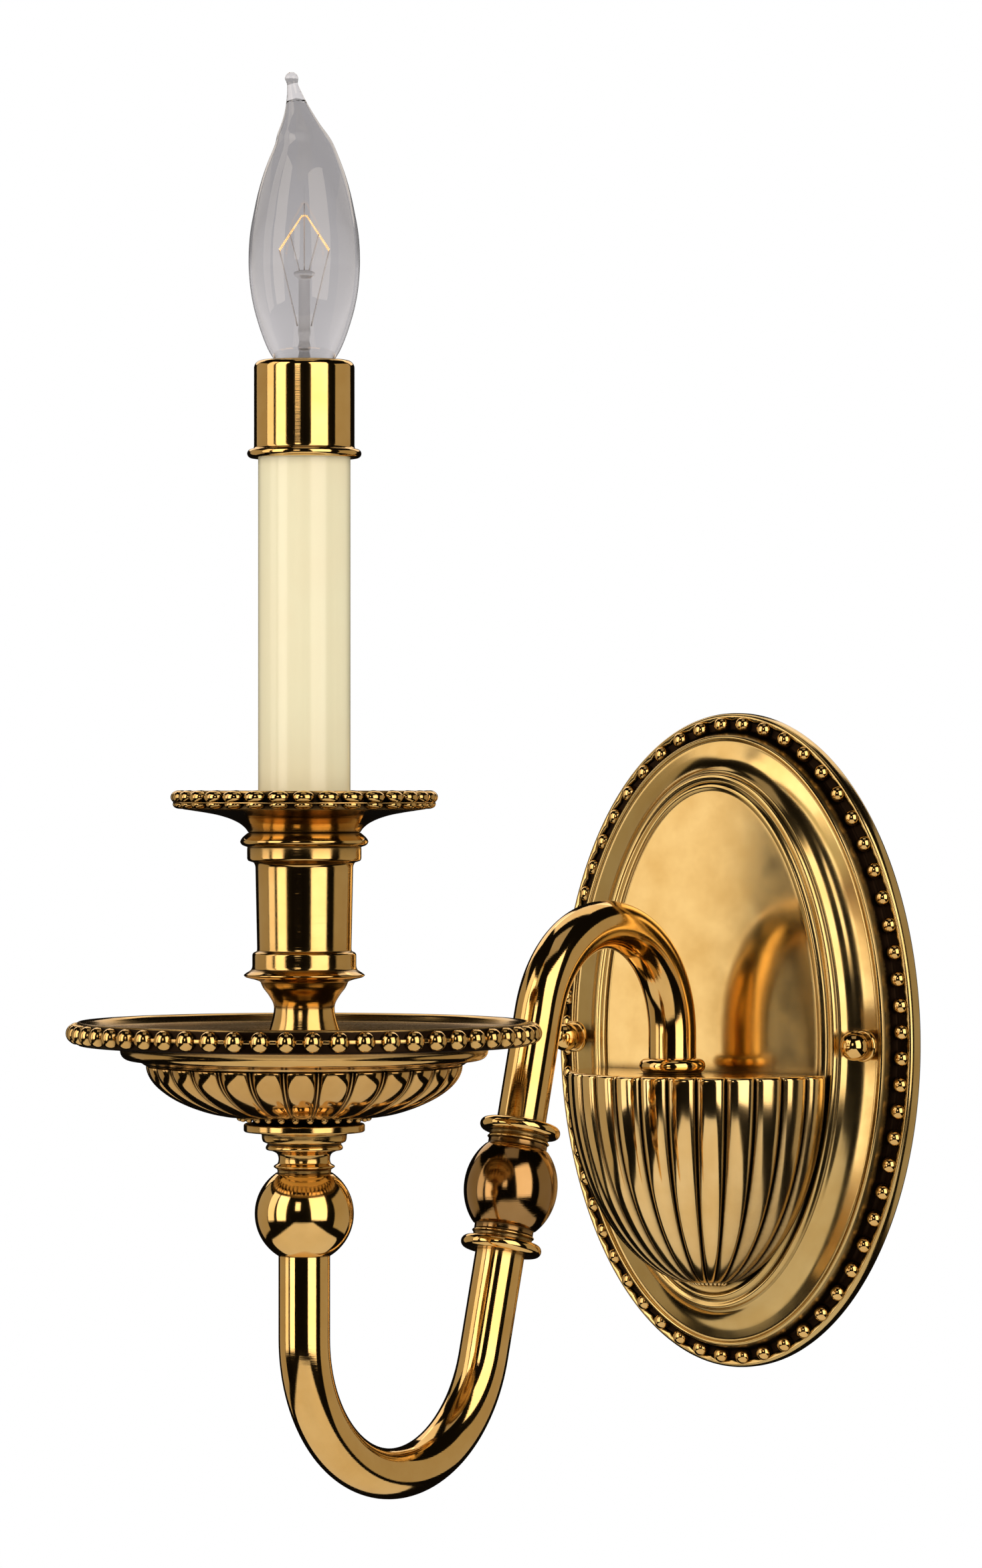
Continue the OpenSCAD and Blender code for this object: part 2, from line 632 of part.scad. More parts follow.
// Centre offset, height and radius of the rings of the bent tip
tip_rings = [
    [0, 267.2, 8.5], [0.5, 269.9, 7.4], [1, 272.6, 5.9], [1.5, 275.7, 4.4], [2.3, 279.6, 2.9],
    [3.1, 283.2, 1.9], [3.5, 285, 1.6], [3.7, 286.3, 1.95], [3.7, 287.4, 1.6], [3.7, 288.1, 0.7]
];

module bulb_glass() color("#e8ecee", 0.35) at_candle() union() {
    difference() {
        turned(concat([[0, glass_foot_z]], glass_profile, [[0, glass_top_z]]));
        turned(concat([[0, glass_foot_z - 1]], [[neck_r - glass_t, glass_foot_z - 1]],
            [for (p = glass_profile) [p[0] - glass_t, min(p[1], glass_top_z - 2)]], [[0, glass_top_z - 2]]));
    }
    rotate([0, 0, tip_turn]) skin([for (k = tip_rings)
        [for (i = [0:23]) [k[0] + k[2] * cos(15 * i), k[2] * sin(-15 * i), k[1]]]]);
}

module bulb_stem() color("#dfe6e8", 0.6) at_candle() turned([
    [0, 202.3], [4.1, 202.3], [3.6, 203.2], [1.9, 205], [1.5, 207.2], [2, 208.4], [1.5, 209.6], [1.6, 211],
    [1.9, 212.6], [1.7, 214], [1.7, stem_top_z - 1.6], [2.2, stem_top_z - 1.2], [3.2, stem_top_z - 0.5],
    [3.1, stem_top_z + 0.5], [1.4, stem_top_z + 1.1], [0, stem_top_z + 1.2]
]);

// Wire between two points given as [offset towards the side, height]
module wire(p, q, r) {
    d = q - p;
    translate([p[0], 0, p[1]]) rotate([0, atan2(d[0], d[1]), 0]) cylinder(r = r, h = norm(d), $fn = 16);
}

module bulb_support_wires() color(steel) at_candle() rotate([0, 0, tip_turn]) {
    wire([0, stem_top_z + 1.2], [0, spike_z], 0.22);
    for (side = [-1, 1]) {
        wire([side * 2, 214.5], [side * 7.2, filament_z], 0.22);
        translate([0, side * 1.1, 0])
            wire([side * 1.4, stem_top_z + 1.2], [side * 4.2, filament_z + 4.6], 0.18);
    }
}

module bulb_filament() color("#f0b060") at_candle() rotate([0, 0, tip_turn]) {
    for (side = [-1, 1]) wire([side * 7.2, filament_z + 0.1], [side * 0.7, apex_z], 0.4);
}

module nut_collar(side) color(old_brass)
translate([side * post_x, -collar_y, 0]) rotate([90, 0, 0]) difference() {
    turned([[0, 0], [4.6, 0], [5, 0.5], [5, collar_t - 0.5], [4.6, collar_t], [0, collar_t]]);
    translate([0, 0, -1]) cylinder(r = stud_hole_r + 0.2, h = 5);
}

module ball_nut(side) color(bright_brass)
translate([side * post_x, -nut_ball_y, 0]) rotate([90, 0, 0]) difference() {
    union() {
        sphere(r = nut_ball_r);
        translate([0, 0, collar_y + collar_t + eps - nut_ball_y]) cylinder(r = 3.4, h = 2);
    }
    translate([-10, -10, collar_y + collar_t + eps - nut_ball_y - 10]) cube([20, 20, 10]);
    translate([0, 0, -10]) cylinder(r = stud_hole_r, h = 11.6);
}

module left_nut_collar() nut_collar(-1);

module left_ball_nut() ball_nut(-1);

module right_nut_collar() nut_collar(1);

module right_ball_nut() ball_nut(1);

backplate();
backplate_beads();
half_bowl();
bowl_screws();
wall_crossbar();
crossbar_posts();
post_lock_nuts();
ground_screw();
arm_ferrule();
arm_end_bush();
arm_nipple();
arm_lock_nut();
upper_arm_tube();
lower_arm_tube();
knop_ball();
lower_knop_collar();
upper_knop_collar();
knop_joiner();
front_ball();
neck_collar();
gadroon_bowl();
drip_pan();
candle_cup();
bobeche();
centre_nipple();
stack_washer();
stack_nut();
socket_bracket();
bracket_screw();
lamp_socket();
socket_screw_shell();
socket_contact();
hot_lead();
neutral_lead();
candle_sleeve();
follower_cap();
bulb_contact();
bulb_screw_base();
bulb_insulator();
bulb_glass();
bulb_stem();
bulb_support_wires();
bulb_filament();
left_nut_collar();
left_ball_nut();
right_nut_collar();
right_ball_nut();
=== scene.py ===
"""A brass wall sconce with one electric candle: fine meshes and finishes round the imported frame.

Lengths are in millimetres until a mesh is made, and every piece is drawn where it stands in the frame.
"""

import json
import math

import bmesh
import bpy
import numpy as np
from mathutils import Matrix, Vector


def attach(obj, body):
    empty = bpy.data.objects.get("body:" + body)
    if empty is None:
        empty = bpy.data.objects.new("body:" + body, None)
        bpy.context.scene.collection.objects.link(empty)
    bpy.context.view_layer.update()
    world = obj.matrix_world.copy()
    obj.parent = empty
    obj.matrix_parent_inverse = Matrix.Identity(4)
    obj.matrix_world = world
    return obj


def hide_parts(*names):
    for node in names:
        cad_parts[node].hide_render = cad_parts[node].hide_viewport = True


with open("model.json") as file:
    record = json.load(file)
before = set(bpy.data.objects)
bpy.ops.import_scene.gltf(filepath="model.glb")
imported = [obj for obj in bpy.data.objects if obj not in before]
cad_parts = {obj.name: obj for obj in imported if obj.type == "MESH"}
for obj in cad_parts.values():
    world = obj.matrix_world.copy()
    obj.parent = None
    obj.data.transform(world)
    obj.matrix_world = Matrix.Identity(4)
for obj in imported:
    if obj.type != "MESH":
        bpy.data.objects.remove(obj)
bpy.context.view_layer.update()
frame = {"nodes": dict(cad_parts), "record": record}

MM = 0.001
BODY_OF = {n: body for body, nodes in frame["record"]["behaviour"]["bodies"].items() for n in nodes}
SLOT_OF = {s["node"]: s["material_slot"] for s in frame["record"]["subparts"]}

# ---------------------------------------------------------------- camera, lights and floor

VIEW_TURN = math.radians(38)
RIGHT = Vector((math.cos(VIEW_TURN), math.sin(VIEW_TURN), 0))
AHEAD = Vector((-math.sin(VIEW_TURN), math.cos(VIEW_TURN), 0))
UP = Vector((0, 0, 1))


def camera():
    """A long lens, level, to the right of the arm."""
    data = bpy.data.cameras.new("camera")
    data.lens = 138.2
    data.sensor_width = 36
    data.clip_start, data.clip_end = 0.1, 20
    ob = bpy.data.objects.new("camera", data)
    bpy.context.scene.collection.objects.link(ob)
    ob.location = RIGHT * -0.0797 - AHEAD * 1.9191 + UP * 0.0815
    ob.rotation_euler = (math.pi / 2, 0, VIEW_TURN)
    bpy.context.scene.camera = ob


def soft_box(name, bearing, height, wide, tall, glow, tint):
    """A rectangular light that faces the candle. Bearing 0 is towards the camera, in degrees to its right."""
    target, distance = Vector((0.03, -0.15, 0.05)), 2.2
    a = math.radians(bearing)
    h = math.radians(height)
    way = (-AHEAD * math.cos(a) + RIGHT * math.sin(a)) * math.cos(h) + UP * math.sin(h)
    data = bpy.data.lights.new(name, "AREA")
    data.shape = "RECTANGLE"
    data.size = wide
    data.size_y = tall
    data.energy = glow * math.pi * wide * tall
    data.color = tint
    ob = bpy.data.objects.new(name, data)
    bpy.context.scene.collection.objects.link(ob)
    ob.location = target + way * distance
    ob.rotation_euler = way.to_track_quat("Z", "Y").to_euler()
    ob.visible_camera = False
    ob.visible_transmission = False


def studio():
    """Two tall soft boxes, a lamp in the gap between them, warm screens, and lights above and behind."""
    pale = (1, 0.87, 0.74)
    warm = (1, 0.84, 0.6)
    soft_box("box_left", -54, 16, 0.95, 2.5, 2.35, pale)
    soft_box("box_left_edge", -82, 16, 0.75, 2.5, 1.4, pale)
    soft_box("box_right", 35.5, 16, 1.62, 2.5, 2.25, pale)
    soft_box("lamp_in_gap", -15, 17, 0.42, 0.7, 2.2, pale)
    soft_box("screen_left", -115, 0, 1.75, 2.4, 0.42, warm)
    soft_box("screen_right", 105, 0, 2.4, 2.4, 0.42, warm)
    soft_box("overhead", 0, 80, 1.1, 1.1, 0.4, pale)
    soft_box("high_back", 178, 52, 1.8, 1.2, 1.0, pale)
    soft_box("back_left", -155, 28, 1.1, 0.9, 1.2, pale)
    soft_box("back_right", 155, 28, 1.1, 0.9, 1.2, pale)


def background():
    """White to the eye, a grey that deepens upwards behind the glass, and dark in the metal."""
    world = bpy.data.worlds.new("studio")
    bpy.context.scene.world = world
    world.use_nodes = True
    tree = world.node_tree
    tree.nodes.clear()
    out = tree.nodes.new("ShaderNodeOutputWorld")
    path = tree.nodes.new("ShaderNodeLightPath")

    def backdrop(colour, strength=1):
        node = tree.nodes.new("ShaderNodeBackground")
        node.inputs["Color"].default_value = (*colour, 1)
        node.inputs["Strength"].default_value = strength
        return node.outputs[0]

    def switch(ray, otherwise, chosen):
        node = tree.nodes.new("ShaderNodeMixShader")
        tree.links.new(path.outputs[ray], node.inputs[0])
        tree.links.new(otherwise, node.inputs[1])
        tree.links.new(chosen, node.inputs[2])
        return node.outputs[0]

    dark = backdrop((0.9, 0.8, 0.7), 0.005)
    even = switch("Is Diffuse Ray", dark, backdrop((1, 1, 1), 0.45))
    through = backdrop((0.95, 0.91, 0.91))
    way = tree.nodes.new("ShaderNodeSeparateXYZ")
    tree.links.new(tree.nodes.new("ShaderNodeTexCoord").outputs["Generated"], way.inputs[0])
    fade = tree.nodes.new("ShaderNodeMapRange")
    for key, value in (("From Min", 0.055), ("From Max", 0.105), ("To Min", 0.78), ("To Max", 0.4)):
        fade.inputs[key].default_value = value
    tree.links.new(way.outputs["Z"], fade.inputs["Value"])
    tree.links.new(fade.outputs[0], through.node.inputs["Strength"])
    seen = switch("Is Transmission Ray", even, through)
    shown = switch("Is Camera Ray", seen, backdrop((1, 1, 1)))
    tree.links.new(shown, out.inputs[0])


def floor():
    """A pale table well below the sconce, which the lower surfaces mirror."""
    wide, near, far, drop, corner = 0.5, 1.25, -0.25, 0.45, 0.12
    pts = []
    for cx, cy, start in ((wide, near, 0), (-wide, near, 90), (-wide, far, 180), (wide, far, 270)):
        inset_x = cx - math.copysign(corner, cx)
        inset_y = cy - corner if cy == near else cy + corner
        for i in range(9):
            a = math.radians(start + 90 * i / 8)
            pts.append((inset_x + corner * math.cos(a), inset_y + corner * math.sin(a)))
    mesh = bpy.data.meshes.new("floor")
    corners = [RIGHT * x - AHEAD * y for x, y in pts]
    base = Vector((0, -0.2, 0))
    mesh.from_pydata([base + c - UP * (drop + t) for t in (0, 0.03) for c in corners], [], [
        list(range(len(pts))),
        list(range(2 * len(pts) - 1, len(pts) - 1, -1)),
        *[[i, i + len(pts), (i + 1) % len(pts) + len(pts), (i + 1) % len(pts)] for i in range(len(pts))],
    ])
    ob = bpy.data.objects.new("floor", mesh)
    bpy.context.scene.collection.objects.link(ob)
    ob.data.materials.append(plain_material("floor_paint", (0.78, 0.76, 0.72), 0.6, 0, 24))


# ---------------------------------------------------------------- materials


class Nodes:
    """Short ways to add and join a material's nodes."""

    def __init__(self, name):
        """A new material with its shader, in the object's own coordinates."""
        self.material = bpy.data.materials.new(name)
        self.material.use_nodes = True
        self.tree = self.material.node_tree
        self.shader = self.tree.nodes["Principled BSDF"]
        self.place = self.add("ShaderNodeTexCoord").outputs["Object"]

    def add(self, kind, **settings):
        """A new node with its settings."""
        node = self.tree.nodes.new(kind)
        for key, value in settings.items():
            setattr(node, key, value)
        return node

    def link(self, source, target):
        self.tree.links.new(source, target)

    def maths(self, operation, a, b, clamp=False):
        """An operation on two values, each a number or another node's output."""
        node = self.add("ShaderNodeMath", operation=operation, use_clamp=clamp)
        for value, socket in zip((a, b), node.inputs):
            if isinstance(value, (int, float)):
                socket.default_value = value
            else:
                self.link(value, socket)
        return node.outputs[0]

    def stretch(self, scale):
        """The object's coordinates, scaled along each axis."""
        node = self.add("ShaderNodeMapping")
        node.inputs["Scale"].default_value = scale
        self.link(self.place, node.inputs["Vector"])
        return node.outputs[0]

    def noise(self, scale, detail=3, vector=None):
        """Cloudy values from 0 to 1."""
        node = self.add("ShaderNodeTexNoise")
        node.inputs["Scale"].default_value = scale
        node.inputs["Detail"].default_value = detail
        node.inputs["Roughness"].default_value = 0.55
        self.link(vector or self.place, node.inputs["Vector"])
        return node.outputs["Fac"]

    def ramp(self, value, low, high, start=0.0, end=1.0):
        """A value that goes from start to end while the input goes from low to high."""
        node = self.add("ShaderNodeMapRange", clamp=True)
        node.inputs["From Min"].default_value = low
        node.inputs["From Max"].default_value = high
        node.inputs["To Min"].default_value = start
        node.inputs["To Max"].default_value = end
        self.link(value, node.inputs["Value"])
        return node.outputs[0]

    def mix(self, factor, a, b):
        """A colour between two, each given or another node's output."""
        node = self.add("ShaderNodeMix", data_type="RGBA")
        self.link(factor, node.inputs["Factor"])
        for value, socket in ((a, node.inputs[6]), (b, node.inputs[7])):
            if isinstance(value, tuple):
                socket.default_value = (*value, 1)
            else:
                self.link(value, socket)
        return node.outputs[2]

    def bump(self, height, strength, distance, under=None):
        """A normal tilted by a height, over another bump if there is one."""
        node = self.add("ShaderNodeBump")
        node.inputs["Strength"].default_value = strength
        node.inputs["Distance"].default_value = distance
        self.link(height, node.inputs["Height"])
        if under is not None:
            self.link(under, node.inputs["Normal"])
        return node.outputs[0]

    def set(self, **values):
        """Sets or links the shader's inputs by name."""
        for key, value in values.items():
            socket = self.shader.inputs[key.replace("_", " ")]
            if isinstance(value, bpy.types.NodeSocket):
                self.link(value, socket)
            else:
                socket.default_value = (*value, 1) if isinstance(value, tuple) else value


def brass(name, colour, roughness, patina_and_shade_strength, turned):
    """Lacquered brass: darker in the hollows, partly patina and partly painted shade, a little uneven, with
    fine tool lines round turned parts.

    The mesh's darkening value adds grime and painted shade where it is above 0, and at -1 leaves the metal
    unpolished.
    """
    n = Nodes(name)
    cloud = n.noise(70, 5)
    speck = n.noise(900, 4)
    worn = n.ramp(cloud, 0.35, 0.7)
    face = n.mix(worn, colour, tuple(c * k for c, k in zip(colour, (0.9, 0.84, 0.72))))
    # Ambient occlusion darkens the colour in hollows and between parts: partly patina, partly painted shade.
    hollow = n.add("ShaderNodeAmbientOcclusion", samples=6)
    hollow.inputs["Distance"].default_value = 0.0035
    cavity = n.ramp(hollow.outputs["AO"], 0.85, 0.3)
    patina_and_shade = n.add("ShaderNodeAttribute", attribute_name="patina_and_shade").outputs["Fac"]
    unpolished = n.maths("MULTIPLY", patina_and_shade, -1, clamp=True)
    # The darkening from the hollows and from the mesh is partly grime and partly painted shade.
    grime_and_shade = n.maths("ADD", n.maths("MULTIPLY", cavity, 0.95 * patina_and_shade_strength), patina_and_shade)
    grime_and_shade = n.maths("MULTIPLY", grime_and_shade, n.ramp(speck, 0.2, 0.6, 0.88, 1.06), clamp=True)
    dark = (0.016, 0.009, 0.005)
    n.set(Base_Color=n.mix(grime_and_shade, face, dark), Metallic=1.0)
    rough = n.maths("ADD", n.ramp(cloud, 0.3, 0.75, roughness * 0.8, roughness * 1.3),
                    n.maths("MULTIPLY", grime_and_shade, 0.28))
    n.set(Roughness=n.maths("ADD", rough, n.maths("MULTIPLY", unpolished, 0.34)))
    normal = n.bump(n.noise(55, 2), 0.07, 0.0005)
    normal = n.bump(n.noise(2600, 2), 0.05, 0.00004, normal)
    if turned:
        normal = n.bump(n.noise(1, 2, n.stretch((60, 60, 5200))), turned, 0.00006, normal)
    n.set(Normal=normal)
    return n.material


def plain_material(name, colour, roughness, metallic, grain=900):
    """A finish with a faint mottling and a fine grain."""
    n = Nodes(name)
    cloud = n.noise(grain / 12, 4)
    n.set(Base_Color=n.mix(n.ramp(cloud, 0.3, 0.7), colour, tuple(c * 0.92 for c in colour)))
    n.set(Metallic=float(metallic), Roughness=n.ramp(cloud, 0.3, 0.7, roughness * 0.85, roughness * 1.15))
    n.set(Normal=n.bump(n.noise(grain, 3), 0.1, 0.00005))
    return n.material


def ivory(name):
    """Smooth moulded candle cover, with faint flow lines along it."""
    n = Nodes(name)
    flow = n.noise(1, 4, n.stretch((220, 220, 6)))
    cloud = n.noise(40, 3)
    tone = n.mix(n.ramp(flow, 0.3, 0.7), (0.86, 0.84, 0.60), (0.83, 0.80, 0.56))
    n.set(Base_Color=n.mix(n.ramp(cloud, 0.4, 0.8), tone, (0.84, 0.79, 0.55)))
    n.set(Roughness=n.ramp(cloud, 0.3, 0.7, 0.2, 0.26), Normal=n.bump(flow, 0.03, 0.0001))
    n.set(Coat_Weight=0.5, Coat_Roughness=0.1)
    return n.material


def glass(name, tint):
    """Clear blown glass, faintly rippled."""
    n = Nodes(name)
    ripple = n.noise(60, 2)
    n.set(Base_Color=tint, Transmission_Weight=1.0, IOR=1.5)
    n.set(Roughness=n.ramp(ripple, 0.2, 0.8, 0.0, 0.015), Normal=n.bump(ripple, 0.04, 0.0003))
    return n.material


def hot_wire(name):
    """Glowing wire, hotter in places."""
    n = Nodes(name)
    heat = n.ramp(n.noise(900, 2), 0.3, 0.7)
    n.set(Base_Color=(0.5, 0.3, 0.15), Metallic=1.0, Roughness=0.4)
    n.set(Emission_Color=n.mix(heat, (1.0, 0.42, 0.08), (1.0, 0.62, 0.24)), Emission_Strength=1.6)
    return n.material


GOLD = (0.87, 0.585, 0.23)
# A lighter copy of the brass for the ribbed bowl: painted highlight.
PAINTED_HIGHLIGHT_GOLD = (0.97, 0.7, 0.32)
OLD_GOLD = (0.68, 0.44, 0.17)
# A dark brown copy of the brass for the knop: partly tarnish, partly painted shade for the dark surroundings
# it mirrors.
TARNISH_AND_SHADE_GOLD = (0.40, 0.245, 0.10)
# A darker, more olive copy of the brass for the wall plate: the darkening is painted shade.
SHADED_OLIVE_GOLD = (0.70, 0.515, 0.22)

# Colour, roughness, strength of the patina and painted shade in the hollows, depth of the tool lines.
BRASSES = {
    "antique_brass": (OLD_GOLD, 0.10, 1.0, 0),
    "ribbed_highlight_painted_brass": (PAINTED_HIGHLIGHT_GOLD, 0.10, 1.0, 0),
    "plate_shade_painted_brass": (SHADED_OLIVE_GOLD, 0.15, 1.0, 0),
    "turned_brass": (tuple(0.86 * c for c in GOLD), 0.09, 1.0, 0.35),
    "tarnish_and_shade_brass": (TARNISH_AND_SHADE_GOLD, 0.09, 1.0, 0.25),
    "bead_brass": (GOLD, 0.10, 0.8, 0),
    "polished_brass": (GOLD, 0.075, 0.6, 0.12),
}
# Colour, roughness, how metallic.
PLAIN = {
    "plain_brass": ((0.78, 0.55, 0.24), 0.3, 1),
    "zinc_steel": ((0.55, 0.56, 0.58), 0.34, 1),
    "green_steel": ((0.03, 0.2, 0.06), 0.4, 1),
    # A lighter, less metallic copy of the wire's steel: painted glints.
    "glint_painted_wire": ((0.9, 0.86, 0.82), 0.3, 0.35),
    "black_phenolic": ((0.02, 0.019, 0.018), 0.35, 0),
    "black_insulation": ((0.02, 0.02, 0.02), 0.5, 0),
    "white_insulation": ((0.75, 0.74, 0.7), 0.5, 0),
    "stem_glass": ((0.85, 0.85, 0.86), 0.12, 0.25),
}
FINISH = {
    **{name: brass(name, *look) for name, look in BRASSES.items()},
    **{name: plain_material(name, *look) for name, look in PLAIN.items()},
    "ivory_sleeve": ivory("ivory_sleeve"),
    "clear_glass": glass("clear_glass", (0.93, 0.93, 0.94)),
    "filament_wire": hot_wire("filament_wire"),
}

# ---------------------------------------------------------------- mesh tools


def rounded(outline, soft=0.3):
    """The outline with its corners eased. A point is (r, z), (r, z, ease) or (r, z, ease, darkening), where
    darkening above 0 is partly patina and partly painted shade, and -1 marks unpolished metal.
    """
    points = [(p[0], p[1], p[2] if len(p) > 2 else soft, p[3] if len(p) > 3 else 0.0) for p in outline]
    out = []
    for i, (r, z, ease, patina_and_shade) in enumerate(points):
        here = np.array((r, z))
        to_last = np.array(points[i - 1][:2]) - here
        to_next = np.array(points[(i + 1) % len(points)][:2]) - here
        a = here + to_last * min(0.48, ease / max(np.linalg.norm(to_last), 1e-9))
        b = here + to_next * min(0.48, ease / max(np.linalg.norm(to_next), 1e-9))
        steps = 0 if ease == 0 else 2 + int(ease > 0.6) + 2 * int(ease > 1.4)
        for k in range(steps + 1):
            t = k / max(steps, 1)
            p = (1 - t) ** 2 * a + 2 * t * (1 - t) * here + t * t * b
            out.append((p[0], p[1], patina_and_shade))
    return np.array(out)


def arc(centre, radius, start, end, steps):
    """Points of an outline on an arc, between two angles in degrees."""
    angles = [math.radians(start + (end - start) * i / steps) for i in range(steps + 1)]
    return [(centre[0] + radius * math.cos(a), centre[1] + radius * math.sin(a), 0) for a in angles]


def smooth_rows(rows, per):
    """Rows of numbers with points added between them on a Catmull-Rom curve."""
    rows = np.asarray(rows, float)
    ends = np.vstack([2 * rows[0] - rows[1], rows, 2 * rows[-1] - rows[-2]])
    t = np.linspace(0, 1, per, endpoint=False)[:, None]
    out = []
    for p0, p1, p2, p3 in zip(ends, ends[1:], ends[2:], ends[3:]):
        square = 2 * p0 - 5 * p1 + 4 * p2 - p3
        cube = 3 * (p1 - p2) + p3 - p0
        out.append(p1 + 0.5 * t * (p2 - p0 + t * (square + t * cube)))
    return np.vstack([*out, rows[-1:]])


def quads(rows, cols, wrap_rows, wrap_cols):
    """Faces of a grid of points, which may join up with itself both ways."""
    i, j = np.meshgrid(np.arange(rows - (not wrap_rows)), np.arange(cols - (not wrap_cols)), indexing="ij")
    i2, j2 = (i + 1) % rows, (j + 1) % cols
    return np.stack([i * cols + j, i * cols + j2, i2 * cols + j2, i2 * cols + j], -1).reshape(-1, 4)


def join(*shapes):
    """Several (points, faces, darkening) shapes as one."""
    points, faces, patina_and_shade_list, start = [], [], [], 0
    for shape_points, shape_faces, patina_and_shade in shapes:
        points.append(shape_points)
        patina_and_shade_list.append(np.broadcast_to(np.asarray(patina_and_shade, float), (len(shape_points),)))
        faces.extend([v + start for v in face] for face in as_lists(shape_faces))
        start += len(shape_points)
    return np.vstack(points), faces, np.concatenate(patina_and_shade_list)


def as_lists(faces):
    """Faces as plain lists."""
    return faces if isinstance(faces, list) else faces.tolist()


def stand(shape, origin, along):
    """A shape drawn about z, moved to origin and turned so that z lies along a direction."""
    points, faces, patina_and_shade = shape
    z = np.asarray(along, float) / np.linalg.norm(along)
    x = np.cross((0, 1, 0), z) if abs(z[1]) < 0.9 else np.cross((0, 0, 1), z)
    x = x / np.linalg.norm(x)
    return points @ np.array([x, np.cross(z, x), z]) + np.asarray(origin, float), faces, patina_and_shade


def revolved(r, z, steps):
    """Points of a line of (r, z) turned about z, a ring for each."""
    a = 2 * np.pi * np.arange(steps) / steps
    rings = (np.outer(r, np.cos(a)), np.outer(r, np.sin(a)), np.outer(z, np.ones(steps)))
    return np.stack(rings, -1).reshape(-1, 3)


def lathe(outline, steps=128, soft=0.3):
    """A closed outline revolved about z."""
    line = rounded(outline, soft)
    points = revolved(line[:, 0], line[:, 1], steps)
    return points, quads(len(line), steps, True, True), np.repeat(line[:, 2], steps)


def ball(radius, centre, rings, steps, shape=(1, 1, 1)):
    """A ball, with its poles along z and its three axes scaled by shape."""
    p = np.pi * np.arange(rings + 1) / rings
    points = radius * revolved(np.sin(p), np.cos(p), steps) * np.array(shape) + np.array(centre, float)
    return points, quads(rings + 1, steps, False, True), 0.0


def bead_ring(count, ring_r, z, radius, shape, rings, steps):
    """Equal beads round z. The bead's shape is (outward, along the ring, up)."""
    bead, faces, patina_and_shade = ball(radius, (ring_r, 0, z), rings, steps, shape)
    row = []
    for i in range(count):
        a = 2 * np.pi * (i + 0.5) / count
        turn = np.array([[np.cos(a), np.sin(a), 0], [-np.sin(a), np.cos(a), 0], [0, 0, 1]])
        row.append((bead @ turn, faces, patina_and_shade))
    return join(*row)


def sweep(path, radius, sides, bore=None):
    """A round bar, or a pipe if it has a bore, along a path of points."""
    path = np.asarray(path, float)
    way = np.gradient(path, axis=0)
    way /= np.linalg.norm(way, axis=1)[:, None]
    side = np.array((1.0, 0.0, 0.0))
    frames = []
    for w in way:
        side = side - w * (side @ w)
        side /= np.linalg.norm(side)
        frames.append((side, np.cross(w, side)))
    a = 2 * np.pi * np.arange(sides) / sides
    spokes = np.array([[np.cos(t) * u + np.sin(t) * v for t in a] for u, v in frames])

    def rings(r):
        return path[:, None] + r * spokes

    if bore is None:
        points = rings(radius).reshape(-1, 3)
        last = (len(path) - 1) * sides
        caps = [list(range(sides)), [last + i for i in range(sides)]]
        return points, quads(len(path), sides, False, True).tolist() + caps, 0.0
    points = np.vstack([rings(radius), rings(bore)[::-1]]).reshape(-1, 3)
    return points, quads(2 * len(path), sides, True, True), 0.0


def piece(name, shape, nodes, finish=None, base=(0, 0, 0), even=True):
    """Makes a mesh piece that stands for CAD nodes and rides on their body."""
    points, faces, patina_and_shade = shape
    mesh = bpy.data.meshes.new(name)
    mesh.from_pydata(((points + np.array(base, float)) * MM).tolist(), [], as_lists(faces))
    patina_and_shade_list = np.broadcast_to(np.asarray(patina_and_shade, np.float32), (len(points),))
    # The darkening attribute: partly patina, partly painted shade; -1 marks unpolished metal.
    mesh.attributes.new("patina_and_shade", "FLOAT", "POINT").data.foreach_set("value", patina_and_shade_list.copy())
    bm = bmesh.new()
    bm.from_mesh(mesh)
    bmesh.ops.remove_doubles(bm, verts=bm.verts, dist=1e-7)
    bmesh.ops.delete(bm, geom=[e for e in bm.edges if not e.link_faces], context="EDGES")
    bmesh.ops.recalc_face_normals(bm, faces=bm.faces)
    bm.to_mesh(mesh)
    bm.free()
    mesh.polygons.foreach_set("use_smooth", [True] * len(mesh.polygons))
    ob = bpy.data.objects.new(name, mesh)
    bpy.context.scene.collection.objects.link(ob)
    if even:
        ob.modifiers.new("even normals", "WEIGHTED_NORMAL").weight = 90
    mesh.materials.append(FINISH[finish or SLOT_OF[nodes[0]]])
    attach(ob, BODY_OF[nodes[0]])
    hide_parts(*nodes)


# ---------------------------------------------------------------- the sconce's own sizes

CANDLE = (0, -217.5, 0)
PLATE_W, PLATE_H = 138.6, 208.2
SIDE_INSET = 1.15
PLATE_BEADS, BEAD_LAG = 60, math.radians(6.3)
PANEL_INSET, PANEL_ROWS, PANEL_TOP = 26, 40, 17.2
ARM_SPAN, LIMB_LEAN = 180.5, math.radians(15)
LOW_R, LOW_Z, TOP_R = 42.9, -122.5, 34.9
TUBE_R, TUBE_BORE, AROUND_TUBE = 7.5, 6.2, 7.55
TUBE_TOP = -49.5
PIPE_BORE = 4.9
FIT = 0.01
LEDGE_Z = -9.4
KNOP_AT, KNOP_R, KNOP_POLE = 51.7, 14.2, 16.4
NUT_X = 56.4
BOWL_BACK, BOWL_R, BOWL_DEPTH = -16.4, 45.7, 68.3
RIBS, RIB_GROOVE = 15, 2.4
RIB_ROUND, RIB_END, BOSS_START, BOSS_END = 0.82, 0.885, 0.895, 0.955
# The bearing round the ribbed bowl of the side where its shade is painted.
PAINTED_SHADE_SIDE = math.radians(218)
LOBES = 28

